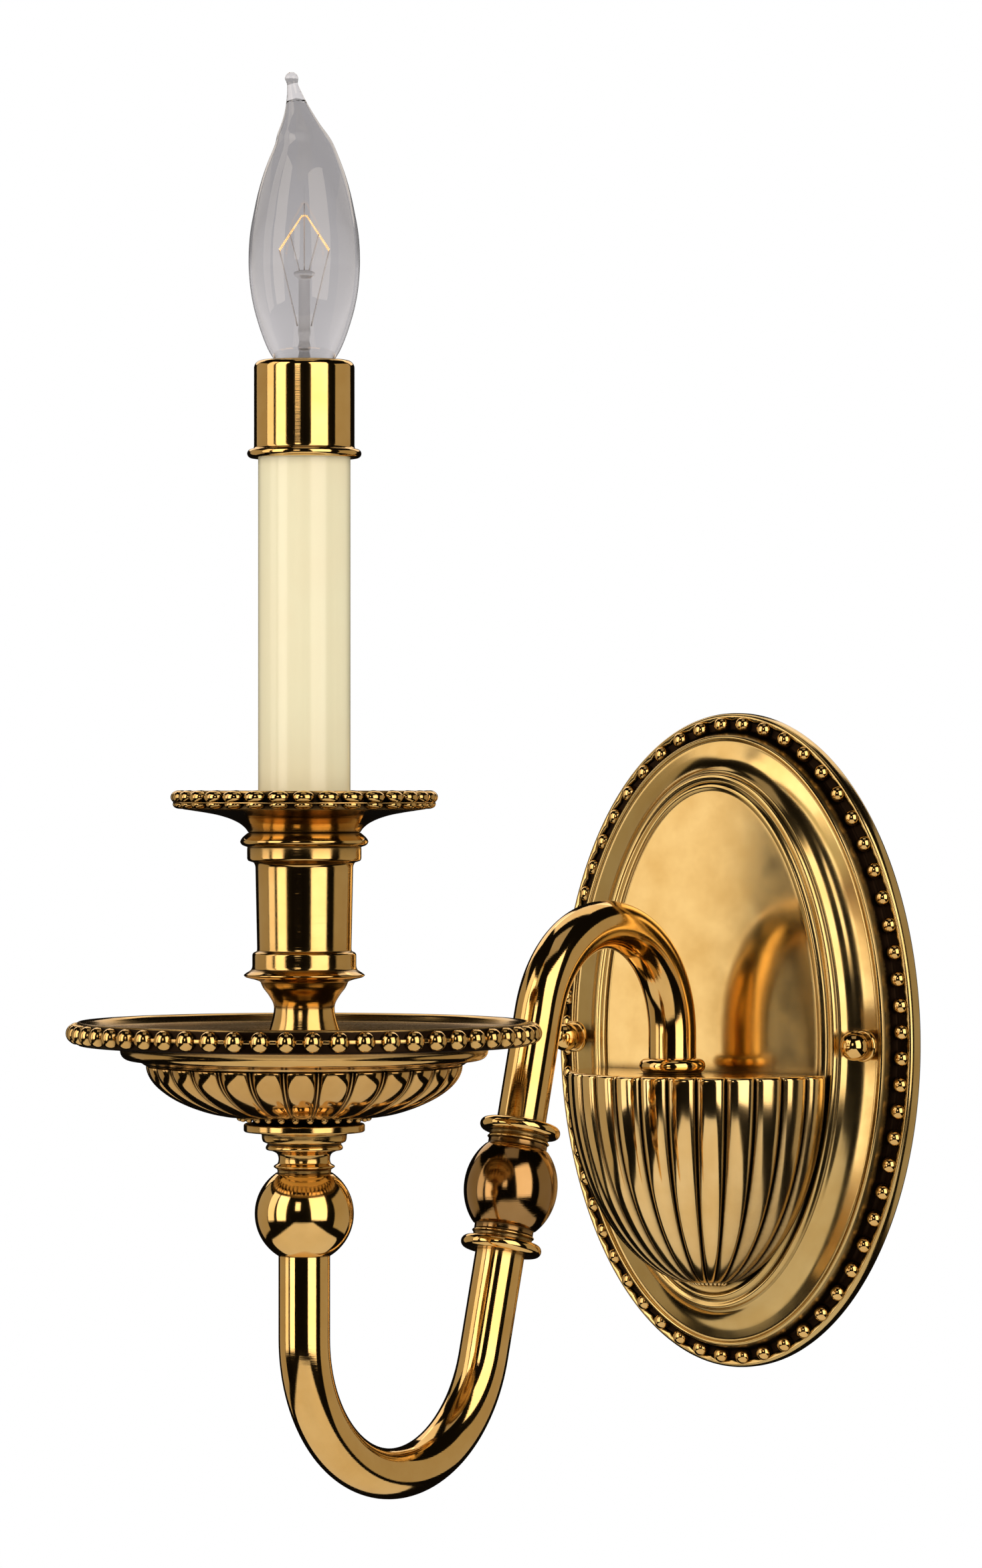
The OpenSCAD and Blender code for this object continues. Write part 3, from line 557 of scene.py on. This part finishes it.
low_centre = np.array((LOW_R, LOW_Z + LOW_R))
limb = np.array((math.sin(LIMB_LEAN), math.cos(LIMB_LEAN)))
limb_start = low_centre + LOW_R * np.array((math.cos(LIMB_LEAN), -math.sin(LIMB_LEAN)))
limb_length = (ARM_SPAN - TOP_R * (1 + math.cos(LIMB_LEAN)) - limb_start[0]) / limb[0]
limb_end = limb_start + limb_length * limb
top_centre = np.array((ARM_SPAN - TOP_R, limb_end[1] - TOP_R * math.sin(LIMB_LEAN)))
knop_centre = limb_start + KNOP_AT * limb


def turned(name, node, outline, finish="turned_brass", steps=160, extra=(), base=CANDLE):
    """A turned piece on the candle's axis, with any extra shapes that are part of it."""
    piece(name, join(lathe(outline, steps), *extra), [node], finish, base)


def in_arm(points):
    """Points of the arm's own plane, put into the frame."""
    points = np.asarray(points, float).reshape(-1, 2)
    return np.stack([np.zeros(len(points)), points[:, 0] + CANDLE[1], points[:, 1]], -1)


def around(angle, r, z, middle_y=0.0):
    """A row of points round an upright axis, at one radius and height or at one for each angle."""
    return np.stack([r * np.cos(angle), middle_y + r * np.sin(angle), np.broadcast_to(z, angle.shape)], -1)


def bend(centre, radius, start, end, steps):
    """Points on an arc in the arm's plane, between two angles in degrees."""
    a = np.radians(np.linspace(start, end, steps + 1))
    return centre + radius * np.stack([np.cos(a), np.sin(a)], -1)


def straight(a, b, steps):
    """Points between two ends in the arm's plane, without the ends."""
    return np.linspace(a, b, steps + 1)[1:-1]


# ---------------------------------------------------------------- wall plate


def along_rim(turn):
    """Angles of the oval that are evenly spaced along its rim."""
    return turn - BEAD_LAG * np.sin(2 * turn)


def plate_rings(line, steps, scallop):
    """Points of the plate for an outline of (inset, height). Scallop is how far its cups reach into the rim.

    Past the panel's edge the inset counts rows towards the centre, each the same oval drawn smaller.
    """
    turn = 2 * np.pi * np.arange(steps) / steps
    at = along_rim(turn)
    between = (turn * PLATE_BEADS / (2 * np.pi)) % 1 - 0.5
    cup = 1 - np.sqrt(1 - (2 * np.abs(between) * 0.985) ** 2)
    inset = np.minimum(line[:, None, 0], PANEL_INSET) + scallop[:, None] * cup
    shrink = 1 - np.maximum(0, line[:, None, 0] - PANEL_INSET) / PANEL_ROWS
    across = (PLATE_W / 2 - SIDE_INSET * inset) * shrink * np.cos(at)
    tall = (PLATE_H / 2 - inset) * shrink * np.sin(at)
    return np.stack([across, -np.repeat(line[:, 1:2], steps, 1), tall], -1)


def plate_outline():
    """The plate from its rim over its front to the centre and back behind, as (inset, height, ease,
    darkening). The darkening in the bead channel and at the steps is partly patina and partly painted shade;
    -1 marks the unpolished back.
    """
    centre = PANEL_INSET + PANEL_ROWS
    front = [
        (0.35, 0.0, 0.2), (0.0, 0.9, 0.5), (0.0, 4.0, 1.0), (0.7, 5.15, 0.7), (1.5, 5.2, 0.5),
        (2.0, 4.6, 0.3, 0.2), (2.3, 3.8, 0.4, 1.2), (5.3, 3.8, 0.6, 1.2), (6.0, 5.2, 0.8, 1.1),
        (6.9, 8.8, 0.8, 0.5), (7.5, 9.75, 0.5), (8.2, 9.7, 0.4), (8.7, 8.9, 0.3, 0.25), (9.3, 8.85, 0.5),
        (14.2, 10.05, 2.4), (17.0, 12.1, 1.5), (18.2, 13.9, 0.5), (18.55, 14.0, 0.3, 0.3),
        (18.95, 14.2, 0.2, 0.3), (19.4, 15.5, 0.6), (20.2, 15.95, 0.6), (21.2, 15.5, 0.5),
        (21.7, 15.45, 0.3, 0.35), (22.2, 16.1, 0.5), (23.1, 16.75, 0.7), (24.0, 16.5, 0.4),
        (24.5, 16.0, 0.3, 0.2), (25.4, 16.0, 0.6),
    ]
    dome = [(inset, PANEL_TOP - 1.2 * ((centre - inset) / PANEL_ROWS) ** 2.2, 1.5)
            for inset in (31, 38, 46, 56, 62)]
    back = [
        (centre, 15.2, 0, -1), (31.0, 14.8, 3.0, -1), (25.0, 14.7, 1.5, -1), (18.9, 12.7, 2.0, -1),
        (13.4, 9.0, 2.0, -1), (8.2, 7.4, 1.0, -1), (6.6, 2.6, 0.8, -1), (1.6, 2.6, 0.4, -1),
        (1.5, 0.0, 0.2, -1),
    ]
    return rounded(front + dome + [(centre, PANEL_TOP, 0)] + back)


def backplate():
    """The stamped oval plate, with a cup in its rim beside each bead."""
    line = plate_outline()
    rim = np.clip(1 - np.abs(line[:, 0] - 2.0) / 0.9, 0, 1) * (line[:, 1] > 3.2)
    steps = PLATE_BEADS * 8
    grid = plate_rings(line, steps, 0.8 * rim)
    return grid.reshape(-1, 3), quads(len(line), steps, True, True), np.repeat(line[:, 2], steps)


def backplate_beads():
    """The row of beads in the plate's channel."""
    inset = 3.7
    beads = []
    for a in along_rim(2 * np.pi * (np.arange(PLATE_BEADS) + 0.5) / PLATE_BEADS):
        x = (PLATE_W / 2 - SIDE_INSET * inset) * math.cos(a)
        z = (PLATE_H / 2 - inset) * math.sin(a)
        beads.append(ball(2.6, (x, -4.6, z), 16, 24))
    return join(*beads)


# ---------------------------------------------------------------- half bowl


def rib_profile(s, bump):
    """How high the ribs or bosses stand across the bowl, from 0 to 1, and their darkening in the grooves,
    partly patina and partly painted shade, at a place s down it.
    """
    if s < RIB_END:
        height = bump * math.sqrt(1 - max(0.0, (s - RIB_ROUND) / (RIB_END - RIB_ROUND)) ** 2)
        return height, 1.1 * (1 - height) ** 1.4
    if BOSS_START < s < BOSS_END:
        middle = (BOSS_START + BOSS_END) / 2
        height = bump * math.sqrt(1 - ((s - middle) / (BOSS_END - middle)) ** 2)
        return height, 0.85 * (1 - height) ** 2
    height, patina_and_shade = (0.1, 0.8) if s < BOSS_END else (0.75, 0.2)
    return np.full_like(bump, height), np.full_like(bump, patina_and_shade)


def ribbed_rows(angle, bump):
    """Rows of points down the bowl's outside and their darkening.

    They are darker by the plate and lower down; the extra darkness on one side is painted shade.
    """
    near_plate = 0.75 * np.clip((np.abs(np.cos(angle)) - 0.62) / 0.38, 0, 1)
    # Darker lower down all round, and more on one side: painted shade.
    painted_shade_weight = 0.3 + 0.5 * np.clip(np.cos(angle - PAINTED_SHADE_SIDE), 0, 1)
    rows, patina_and_shade_list = [], []
    for s in np.concatenate([np.linspace(0, 0.8, 26), np.linspace(0.81, 0.99, 46), [1.0]]):
        height, patina_and_shade = rib_profile(s, bump)
        if s < RIB_END:
            patina_and_shade = patina_and_shade + near_plate * (0.2 + 0.8 * s) + painted_shade_weight * s ** 3
        k = math.sin(s * math.pi / 2)
        r = BOWL_R * math.sqrt(max(0, 1 - k * k))
        groove = RIB_GROOVE * (0.15 + 0.85 * r / BOWL_R)
        out = r - groove * (1 - height) * min(1, r / 9)
        drop = BOWL_DEPTH * k - 1.2 * (1 - height) * k
        rows.append(around(angle, out, LEDGE_Z - drop, BOWL_BACK))
        patina_and_shade_list.append(patina_and_shade)
    return rows, patina_and_shade_list


def bowl_crown(top):
    """Rows that round the bowl's top edge over to its ledge."""
    rows = []
    for fall, shrink in ((0.0, 0.045), (0.12, 0.018), (0.5, 0.004)):
        rows.append(top * (1 - shrink, 1 - shrink, 0) + (0, BOWL_BACK * shrink, LEDGE_Z - fall))
    return rows


def end_faces(cols, outer, hidden):
    """Faces that close the bowl's two ends at the plate, between its outer and its hidden rows."""
    faces = []
    last = outer + hidden - 1
    for edge in (0, cols - 1):
        strip = [row * cols + edge for row in range(outer + hidden)]
        for i in range(outer - 1):
            j, j2 = (last - round(n * (hidden - 1) / (outer - 1)) for n in (i, i + 1))
            faces.append([strip[i], strip[i + 1], strip[j2]] + ([strip[j]] if j != j2 else []))
    return faces


def half_bowl():
    """A half bowl of rounded ribs that run down to a row of small bosses round a plain button."""
    across = 14
    t = np.arange(across) / across
    phase = np.append((np.arange(RIBS)[:, None] + (1 - np.cos(np.pi * t)) / 2).ravel(), RIBS)
    angle = np.pi + np.pi * phase / RIBS
    bump = np.sqrt(1 - np.abs(2 * (phase % 1) - 1) ** 3)
    rows, patina_and_shade_list = ribbed_rows(angle, bump)
    crown = bowl_crown(rows[0])
    rows[0] = rows[0] - (0, 0, 1.3)

    ledge_r, wall, inside_r, inside_depth = 43, 2.4, 41, 61.3
    under_z = LEDGE_Z - wall
    ledge = [around(angle, f * ledge_r, LEDGE_Z, BOWL_BACK) for f in (0.0, 0.5, 0.9)]
    hidden = [around(angle, inside_r * math.sqrt(max(0, 1 - k * k)), under_z - inside_depth * k, BOWL_BACK)
              for k in np.sin(np.linspace(math.pi / 2, 0, 24))]
    hidden += [around(angle, f * inside_r, under_z, BOWL_BACK) for f in (0.5, 0.0)]

    outer = ledge + crown + rows
    clean = [np.zeros_like(bump)] * (len(ledge) + len(crown))
    unpolished = [np.full_like(bump, -1)] * len(hidden)
    faces = quads(len(outer) + len(hidden), len(angle), False, False).tolist()
    faces += end_faces(len(angle), len(outer), len(hidden))
    return np.vstack(outer + hidden), faces, np.concatenate(clean + patina_and_shade_list + unpolished)


# ---------------------------------------------------------------- lobed bowl


def tongue_rows(angle, off):
    """Rows of points down the lobed bowl's outside, and their darkening in the grooves, partly patina and
    partly painted shade. Off is how far from a tongue's middle.
    """
    tongue_end, tongue_fade = 52, 16
    down = np.concatenate([
        np.linspace(0, tongue_end, 22), np.linspace(tongue_end + 1, 70, 24), np.linspace(71, 74, 4),
    ])
    rows, patina_and_shade_list = [], []
    for a in np.radians(down):
        r, z = 4 + 42 * math.cos(a), -16.9 * math.sin(a)
        groove = 2.3 * math.cos(0.8 * a) ** 1.2
        end = min(1.0, max(0.0, (math.degrees(a) - tongue_end) / tongue_fade))
        half = 0.44 * math.sqrt(1 - end ** 2.6)
        inner = np.clip(off / max(half, 1e-6), 0, 1)
        tongue = np.where(off < half, np.sqrt(1 - inner ** 2), 0) * math.sqrt(1 - end ** 2.5)
        dart = np.sqrt(np.clip(1 - ((0.5 - off) / 0.045) ** 2, 0, 1)) * 0.35 * (end < 1)
        height = np.maximum(np.maximum(tongue, dart), 0.34 * end)
        rows.append(around(angle, r - groove * (1 - height), z + end * (1 - height)))
        patina_and_shade_list.append(np.clip(0.7 - 1.6 * height, 0, 0.6))
    return rows, patina_and_shade_list


def lobed_bowl():
    """A shallow bowl of tongues with a raised dart between each two, and a boss at each dart's end."""
    side = np.array((0, 0.1, 0.19, 0.27, 0.33, 0.375, 0.405, 0.425, 0.44, 0.455, 0.47, 0.485))
    width = np.concatenate([side, [0.5], 1 - side[:0:-1]])
    phase = (np.arange(LOBES)[:, None] + width).ravel()
    angle = 2 * np.pi * phase / LOBES
    rows, patina_and_shade_list = tongue_rows(angle, np.abs(phase - np.round(phase)))

    bore, foot_z, hollow_z, hollow_end = 4.9, -16.95, -13.2, 80
    foot = [around(angle, r, z) for r, z in ((15.0, foot_z), (bore, foot_z), (bore, hollow_z))]
    inside = [around(angle, 3 + 38 * math.cos(a), hollow_z * math.sin(a) / math.sin(math.radians(hollow_end)))
              for a in np.radians(np.linspace(hollow_end, 0, 14))]
    grid = rows + foot + inside
    # The foot and the hollow inside are evenly darkened: partly patina, partly painted shade.
    shade = np.concatenate(patina_and_shade_list + [np.full(len(angle), 0.5)] * (len(foot) + len(inside)))
    bowl = np.vstack(grid), quads(len(grid), len(angle), True, True), shade
    bosses = bead_ring(LOBES, 18.6, -15.1, 1.2, (1, 1, 1), 10, 14)
    piece("lobed_bowl", join(bowl, bosses), ["gadroon_bowl"], "antique_brass", CANDLE)


# ---------------------------------------------------------------- tubes, knop and stack


def arm():
    """The two bent tubes, which meet inside the knop."""
    knop_start, knop_finish = knop_centre - 0.5 * limb, knop_centre + 0.5 * limb
    lower = np.vstack([
        [(0, TUBE_TOP)], straight((0, TUBE_TOP), (0, low_centre[1]), 6),
        bend(low_centre, LOW_R, 180, 345, 64), straight(limb_start, knop_start, 8), [knop_start],
    ])
    wall_end = LEDGE_Z + FIT
    upper = np.vstack([
        [knop_finish], straight(knop_finish, limb_end, 8), bend(top_centre, TOP_R, 165, 0, 60),
        straight((ARM_SPAN, top_centre[1]), (ARM_SPAN, wall_end), 4), [(ARM_SPAN, wall_end)],
    ])
    for name, path in (("lower", lower), ("upper", upper)):
        tube = sweep(in_arm(path), TUBE_R, 64, TUBE_BORE)
        piece(name + "_tube", tube, [name + "_arm_tube"], even=False)


def on_limb(shape):
    """A shape drawn about z, moved to the knop's place on the rising limb."""
    return stand(shape, in_arm(knop_centre)[0], (0, limb[0], limb[1]))


def knop():
    """The barrel on the rising limb, with a rolled collar at each end."""
    half_length, neck_r = 14, 9
    barrel = [(KNOP_R * math.sqrt(1 - (z / KNOP_POLE) ** 2), z, 0) for z in np.linspace(-12, 12, 41)]
    # The fourth numbers here and in the collars' ring darken the necks and grooves: partly patina, partly
    # painted shade.
    outline = [
        (AROUND_TUBE, -half_length), (neck_r, -half_length, 0.3), (neck_r, -12.4, 0.2, 0.5), *barrel,
        (neck_r, 12.4, 0.2, 0.5), (neck_r, half_length), (AROUND_TUBE, half_length),
    ]
    # The knop's dark brown brass is partly tarnish and partly painted shade.
    piece("knop", on_limb(lathe(outline, 160)), ["knop_ball"], "tarnish_and_shade_brass")
    ring = [
        (AROUND_TUBE, 0), (9, 0, 0.2, 0.4), (9.6, 0.5), (9, 1.1, 0.2, 0.5), (8.9, 2, 0.3, 0.5),
        (9.6, 2.4, 0.2), *arc((10.4, 4.2), 1.9, -80, 100, 16), (9, 6.05, 0.2, 0.3), (AROUND_TUBE, 6.2, 0.2),
    ]
    for way, name in ((-1, "lower_knop_collar"), (1, "upper_knop_collar")):
        outline = [(r, way * (z + half_length + 2 * FIT), *look) for r, z, *look in ring]
        piece(name + "_ring", on_limb(lathe(outline)), [name], "polished_brass")


def ferrule():
    """The rolled ring round the arm's foot."""
    foot = (0, CANDLE[1] + ARM_SPAN, LEDGE_Z + FIT)
    outline = [(AROUND_TUBE, 0), (9.2, 0), *arc((8.1, 2.5), 2.3, -60, 90, 16), (AROUND_TUBE, 5, 0.2)]
    turned("ferrule", "arm_ferrule", outline, "polished_brass", 128, base=foot)


def front_ball():
    """The ball at the arm's end, flat on top and open below for the tube."""
    radius, centre_z = 14.4, -43.2
    flat = math.degrees(math.asin(11.8 / radius))
    mouth = math.degrees(math.acos(AROUND_TUBE / radius))
    turned("ball", "front_ball", [
        (PIPE_BORE, -31.4), *arc((0, centre_z), radius, flat, -mouth, 48), (AROUND_TUBE, TUBE_TOP),
        (PIPE_BORE, TUBE_TOP),
    ], "polished_brass")


def stepped_collar():
    """The turned collar between the ball and the lobed bowl."""
    # The fourth numbers darken the grooves: partly patina, partly painted shade.
    turned("stepped_collar", "neck_collar", [
        (PIPE_BORE, -31.39), (7.8, -31.39, 0.2), (7.8, -30.4, 0.2, 0.3), (8.9, -29.7, 0.3), (8.9, -29.3, 0.3),
        (7.7, -28.6, 0.3), (7.4, -27.3, 0.6), (7.8, -25.7, 0.8), (9.6, -24.9, 0.3), (11, -24.7, 0.3),
        (11.3, -24.1, 0.3), (11, -23.4, 0.2), (10.6, -22.9, 0.2, 0.6), (12, -22.3, 0.2), (12.3, -21.6, 0.4),
        (12.4, -20.2, 0.2, 0.3), (13.2, -19.6, 0.3), (17.2, -19.5, 0.25), (17.6, -19.1, 0.2),
        (17.6, -17.4, 0.2), (17.2, -17, 0.2), (PIPE_BORE, -17),
    ])


def pan():
    """The wide pan, with its row of beads and the thin web that links them."""
    cove = [(50.4 + 3 * math.cos(a), 4 - 2.6 * math.sin(a), 0) for a in np.radians(np.linspace(0, 90, 12))]
    # The fourth numbers darken the pan's top, standing in for the dark surroundings it mirrors (painted
    # reflection), and its underside and the channel behind the beads, partly patina and partly painted shade.
    outline = [
        (PIPE_BORE, 7), (PIPE_BORE, 8.5), (42, 8.6, 1, 0.5), (58, 9.2, 1.5, 0.7), (62.2, 10.2, 0.6, 0.6),
        (63.4, 12.1, 0.3, 0.2), (64.4, 12.7, 0.4), (65.7, 12.6, 0.3, 0.5), (65.9, 11.6, 0.2, 1.2),
        (65.9, 6.2, 0.2, 1.2), (65.4, 5.8, 0.3, 1.0), (60, 5.8, 0.5, 0.7), (54.8, 5.4, 0.4, 0.3),
        (53.7, 4.6, 0.2, 0.4), *cove, (48.4, 1.1, 0.2, 0.5), (47.3, 0.7, 0.3), (46.4, 0.05, 0.2),
        (43, 0.05), (43, 1.4), (47, 2.6), (51.6, 6, 0.4, 0.6), (58, 7.2, 0.5, 0.6), (40, 7, 1, 0.6),
    ]
    link = [(65.4, 8.7), (66.8, 8.7), (66.8, 9.9), (65.4, 9.9)]
    beads = bead_ring(56, 66.3, 9.25, 2.85, (1, 1.04, 1.03), 16, 24)
    turned("pan", "drip_pan", outline, steps=224, extra=[beads, lathe(link, 224)])


def cup():
    """The turned column between the pan and the small dish."""
    # The fourth numbers darken the necks and grooves: partly patina, partly painted shade.
    turned("cup", "candle_cup", [
        (PIPE_BORE, 8.51), (10.8, 8.51, 0.2), (9.7, 12, 1.5), (9.1, 14.1, 1), (8.7, 16.5, 1.2),
        (9.1, 18.2, 1), (10.6, 20.6, 1), (12, 22.3, 0.8), (12.8, 24.2, 0.3, 0.4), (14.6, 24.8, 0.3),
        (16.8, 25.3, 0.4), (17.8, 26, 0.5), (16.8, 26.7, 0.4), (15.5, 27.5, 0.3, 0.5), (15.1, 28.3, 0.5),
        (15.1, 32.1, 0.3),
        (14.7, 32.6, 0.2), (13.8, 33, 0.2, 0.4), (13.7, 33.6, 0.3), (14.2, 57.8, 0.5), (14.7, 58.7, 0.2, 0.3),
        (16.3, 59.2, 0.3), (16.6, 59.8, 0.3), (16.6, 62.7, 0.2, 0.2), (16.5, 63.2, 0.2, 0.5), (18, 63.7, 0.4),
        (18.8, 64.7, 0.6), (18, 66, 0.5), (16.4, 67.35, 0.2, 0.3), (12, 67.35), (12, 34), (10.5, 27),
        (6.8, 21), (PIPE_BORE, 19),
    ])


def candle_dish():
    """The small beaded dish, with a seam between its two rows of beads."""
    # The fourth numbers darken the edge under the beads: partly patina, partly painted shade.
    outline = [
        (PIPE_BORE, 67.36), (16.2, 67.36, 0.2), (17, 68.6, 0.6), (18.6, 70, 1), (21.4, 71.4, 1.5),
        (25, 72.5, 1.5), (29.4, 73.3, 1.5), (33.4, 73.9, 0.6, 0.3), (35.4, 74.2, 0.3, 0.7),
        (35.6, 78.6, 0.3, 0.5), (35.6, 79.5, 0.3), (34.8, 79.6, 0.3), (33, 78.4, 0.8), (26, 77.6, 1.5),
        (18, 77.2, 1), (14.2, 76.9, 0.3), (13.9, 76.5, 0.2), (PIPE_BORE, 76.5),
    ]
    seam = [(36.0, 75.9), (38.1, 75.9), (38.1, 76.3), (36.0, 76.3)]
    upper_beads = bead_ring(32, 36.4, 77.7, 2.3, (1.05, 1.4, 0.86), 16, 24)
    lower_beads = bead_ring(32, 36.1, 75.6, 1.9, (1.1, 1.5, 0.7), 12, 22)
    extra = [upper_beads, lathe(seam, 192, 0.15), lower_beads]
    turned("candle_dish", "bobeche", outline, steps=192, extra=extra)


def cover():
    """The plain candle cover."""
    bore, radius, foot, top = 12.2, 13.4, 76.6, 203.1
    turned("cover", "candle_sleeve", [
        (bore, foot), (radius, foot, 0.25), (radius, 100, 0.1), (radius, 140, 0.1), (radius, top, 0.25),
        (bore, top),
    ], "ivory_sleeve")


def cap():
    """The cap on the cover's top, with a rolled rim below."""
    bore, under_top = 13.8, 203.15
    turned("cap", "follower_cap", [
        (bore, 176.2, 0.2), *arc((15.3, 177.4), 1.3, -100, 110, 16), (14.6, 179.4, 0.3),
        *arc((12.4, 202.25), 2.2, 0, 90, 12), (11.4, 204.45, 0.3), (11.4, under_top, 0.1),
        (bore, under_top, 0.1),
    ], "polished_brass")


def nuts():
    """Ball nuts and the loose collars behind them, one each side of the bowl."""
    bore = 2.1
    # The fourth number darkens the neck: partly patina, partly painted shade.
    knob = [
        (bore, 14.61), (3.4, 14.61, 0.2), (3.2, 15.0, 0.2, 0.5), *arc((0, 18.4), 4.5, -44, 90, 30),
        (0, 20, 0), (bore, 20, 0.1),
    ]
    ring = [(2.3, 12.6), (4.6, 12.6), (5, 13.1, 0.3), (5, 14.1, 0.3), (4.6, 14.6), (2.3, 14.6)]
    for side, name in ((-1, "left"), (1, "right")):
        foot = (side * NUT_X, 0, 0)
        piece(name + "_knob", stand(lathe(knob, 96), foot, (0, -1, 0)), [name + "_ball_nut"])
        piece(name + "_collar", stand(lathe(ring, 96, 0.2), foot, (0, -1, 0)), [name + "_nut_collar"])


# ---------------------------------------------------------------- lamp

TIP_TURN = math.radians(218)
LEADS_X = np.array((math.cos(TIP_TURN), math.sin(TIP_TURN), 0))
LEADS_Y = np.array((-math.sin(TIP_TURN), math.cos(TIP_TURN), 0))


def lamp_points(rows):
    """Rows of (across, deep, height) in the lamp's own plane, put round the candle's axis."""
    rows = np.asarray(rows, float)
    return rows[:, :1] * LEADS_X + rows[:, 1:2] * LEADS_Y + rows[:, 2:] * (0, 0, 1)


def envelope():
    """A thin blown envelope that ends in a bent tip, as rows of (sideways, height, radius)."""
    body = [
        (0, 200.3, 5.3), (0, 201.8, 6), (0, 203.4, 7.6), (0, 205.2, 9.1), (0, 207.8, 10.6), (0, 211.4, 12.1),
        (0, 215.6, 13.5), (0, 220, 14.7), (0, 225, 15.6), (0, 230.5, 16.1), (0, 235, 16.15),
        (0, 239, 15.95), (0, 242.9, 15.5), (0, 247.2, 14.7), (0, 252.4, 13.6), (0, 257.8, 12.1),
        (0, 262.3, 10.5), (0, 267.2, 8.5),
    ]
    tip = [
        (0.5, 269.9, 7.4), (1, 272.6, 5.9), (1.5, 275.7, 4.4), (2.3, 279.6, 2.9), (3.1, 283.2, 1.9),
        (3.5, 285, 1.6), (3.7, 286.3, 1.95), (3.7, 287.4, 1.6), (3.7, 288.1, 0.7),
    ]
    wall, hollow_top = 0.75, 280
    outer = smooth_rows(body + tip, 4)
    inner = outer[outer[:, 1] < hollow_top] - (0, 0, wall)
    rows = np.vstack([outer, [(3.7, 288.1, 0)], [(2.45, 280.3, 0)], inner[::-1]])
    steps = 96
    a = 2 * np.pi * np.arange(steps) / steps
    ring = np.stack([np.cos(a), np.sin(a), np.zeros(steps)], -1)
    points = [offset * LEADS_X + r * ring + (0, 0, z) for offset, z, r in rows]
    shape = np.vstack(points), quads(len(rows), steps, True, True), 0.0
    piece("envelope", shape, ["bulb_glass"], base=CANDLE, even=False)


def glass_stem():
    """The turned glass stem that carries the wires."""
    turned("glass_stem", "bulb_stem", [
        (0, 202.3, 0), (4.1, 202.3, 0.3), (3.6, 203.2, 0.6), (1.9, 205, 1), (1.5, 207.2, 0.8),
        (2, 208.4, 0.6), (1.5, 209.6, 0.6), (1.6, 211, 0.6), (1.9, 212.6, 0.6), (1.7, 214, 0.8),
        (1.7, 228, 0.4), (2.2, 228.4, 0.2), (3.2, 229.1, 0.4), (3.1, 230.1, 0.4), (1.4, 230.7, 0.3),
        (0, 230.8, 0),
    ], "stem_glass", 64)


def lead_wires():
    """Two leads to the filament's ends, four supports, and a straight wire in the middle."""
    leads = [[(side * 2, 0, 214.5), (side * 4.6, 0, 225.4), (side * 7.2, 0, 236.4)] for side in (-1, 1)]
    supports = [[(side * 1.4, deep, 230.6), (side * 2.8, deep, 235.9), (side * 4.2, deep * 0.4, 241)]
                for side in (-1, 1) for deep in (-1.1, 1.1)]
    spike = [(0, 0, 230.6), (0, 0, 240), (0, 0, 250)]
    thick, thin = 0.22, 0.18
    wires = [sweep(lamp_points(smooth_rows(path, 4)), r, 10)
             for paths, r in ((leads, thick), (supports, thin), ([spike], thick)) for path in paths]
    piece("lead_wires", join(*wires), ["bulb_support_wires"], "glint_painted_wire", CANDLE, False)


def filament():
    """A fine coil that rises from one lead to the middle and falls to the other."""
    corners = np.array(((-7.2, 0, 236.5), (-0.7, 0, 246.4), (0.7, 0, 246.4), (7.2, 0, 236.5)))
    legs = np.linalg.norm(np.diff(corners, axis=0), axis=1)
    travel = np.concatenate([[0], np.cumsum(legs)])
    turns, per_turn, coil_r, wire_r = 46, 12, 0.3, 0.1
    s = np.linspace(0, travel[-1], turns * per_turn + 1)
    middle = np.stack([np.interp(s, travel, corners[:, i]) for i in range(3)], -1)
    spin = 2 * np.pi * turns * s / travel[-1]
    lean = np.interp(s, travel, (1, 0.35, -0.35, -1)) * 0.98
    coil = middle + coil_r * np.stack([np.cos(spin) * lean, np.sin(spin), -np.cos(spin) * 0.6], -1)
    piece("filament_coil", sweep(lamp_points(coil), wire_r, 6), ["bulb_filament"], base=CANDLE, even=False)


def finish_frame_nodes():
    """Gives every CAD node that stays its own finish."""
    for name, ob in frame["nodes"].items():
        for slot in ob.material_slots:
            slot.material = FINISH[SLOT_OF[name]]


camera()
studio()
background()
floor()
finish_frame_nodes()
# The plate's darker brass is painted shade.
piece("wall_plate", backplate(), ["backplate"], "plate_shade_painted_brass")
piece("wall_plate_beads", backplate_beads(), ["backplate_beads"], even=False)
# The ribbed bowl's lighter brass is painted highlight.
piece("ribbed_bowl", half_bowl(), ["half_bowl"], "ribbed_highlight_painted_brass")
arm()
ferrule()
knop()
front_ball()
stepped_collar()
lobed_bowl()
pan()
cup()
candle_dish()
cover()
cap()
envelope()
glass_stem()
lead_wires()
filament()
nuts()
bpy.context.scene.view_settings.view_transform = "Standard"
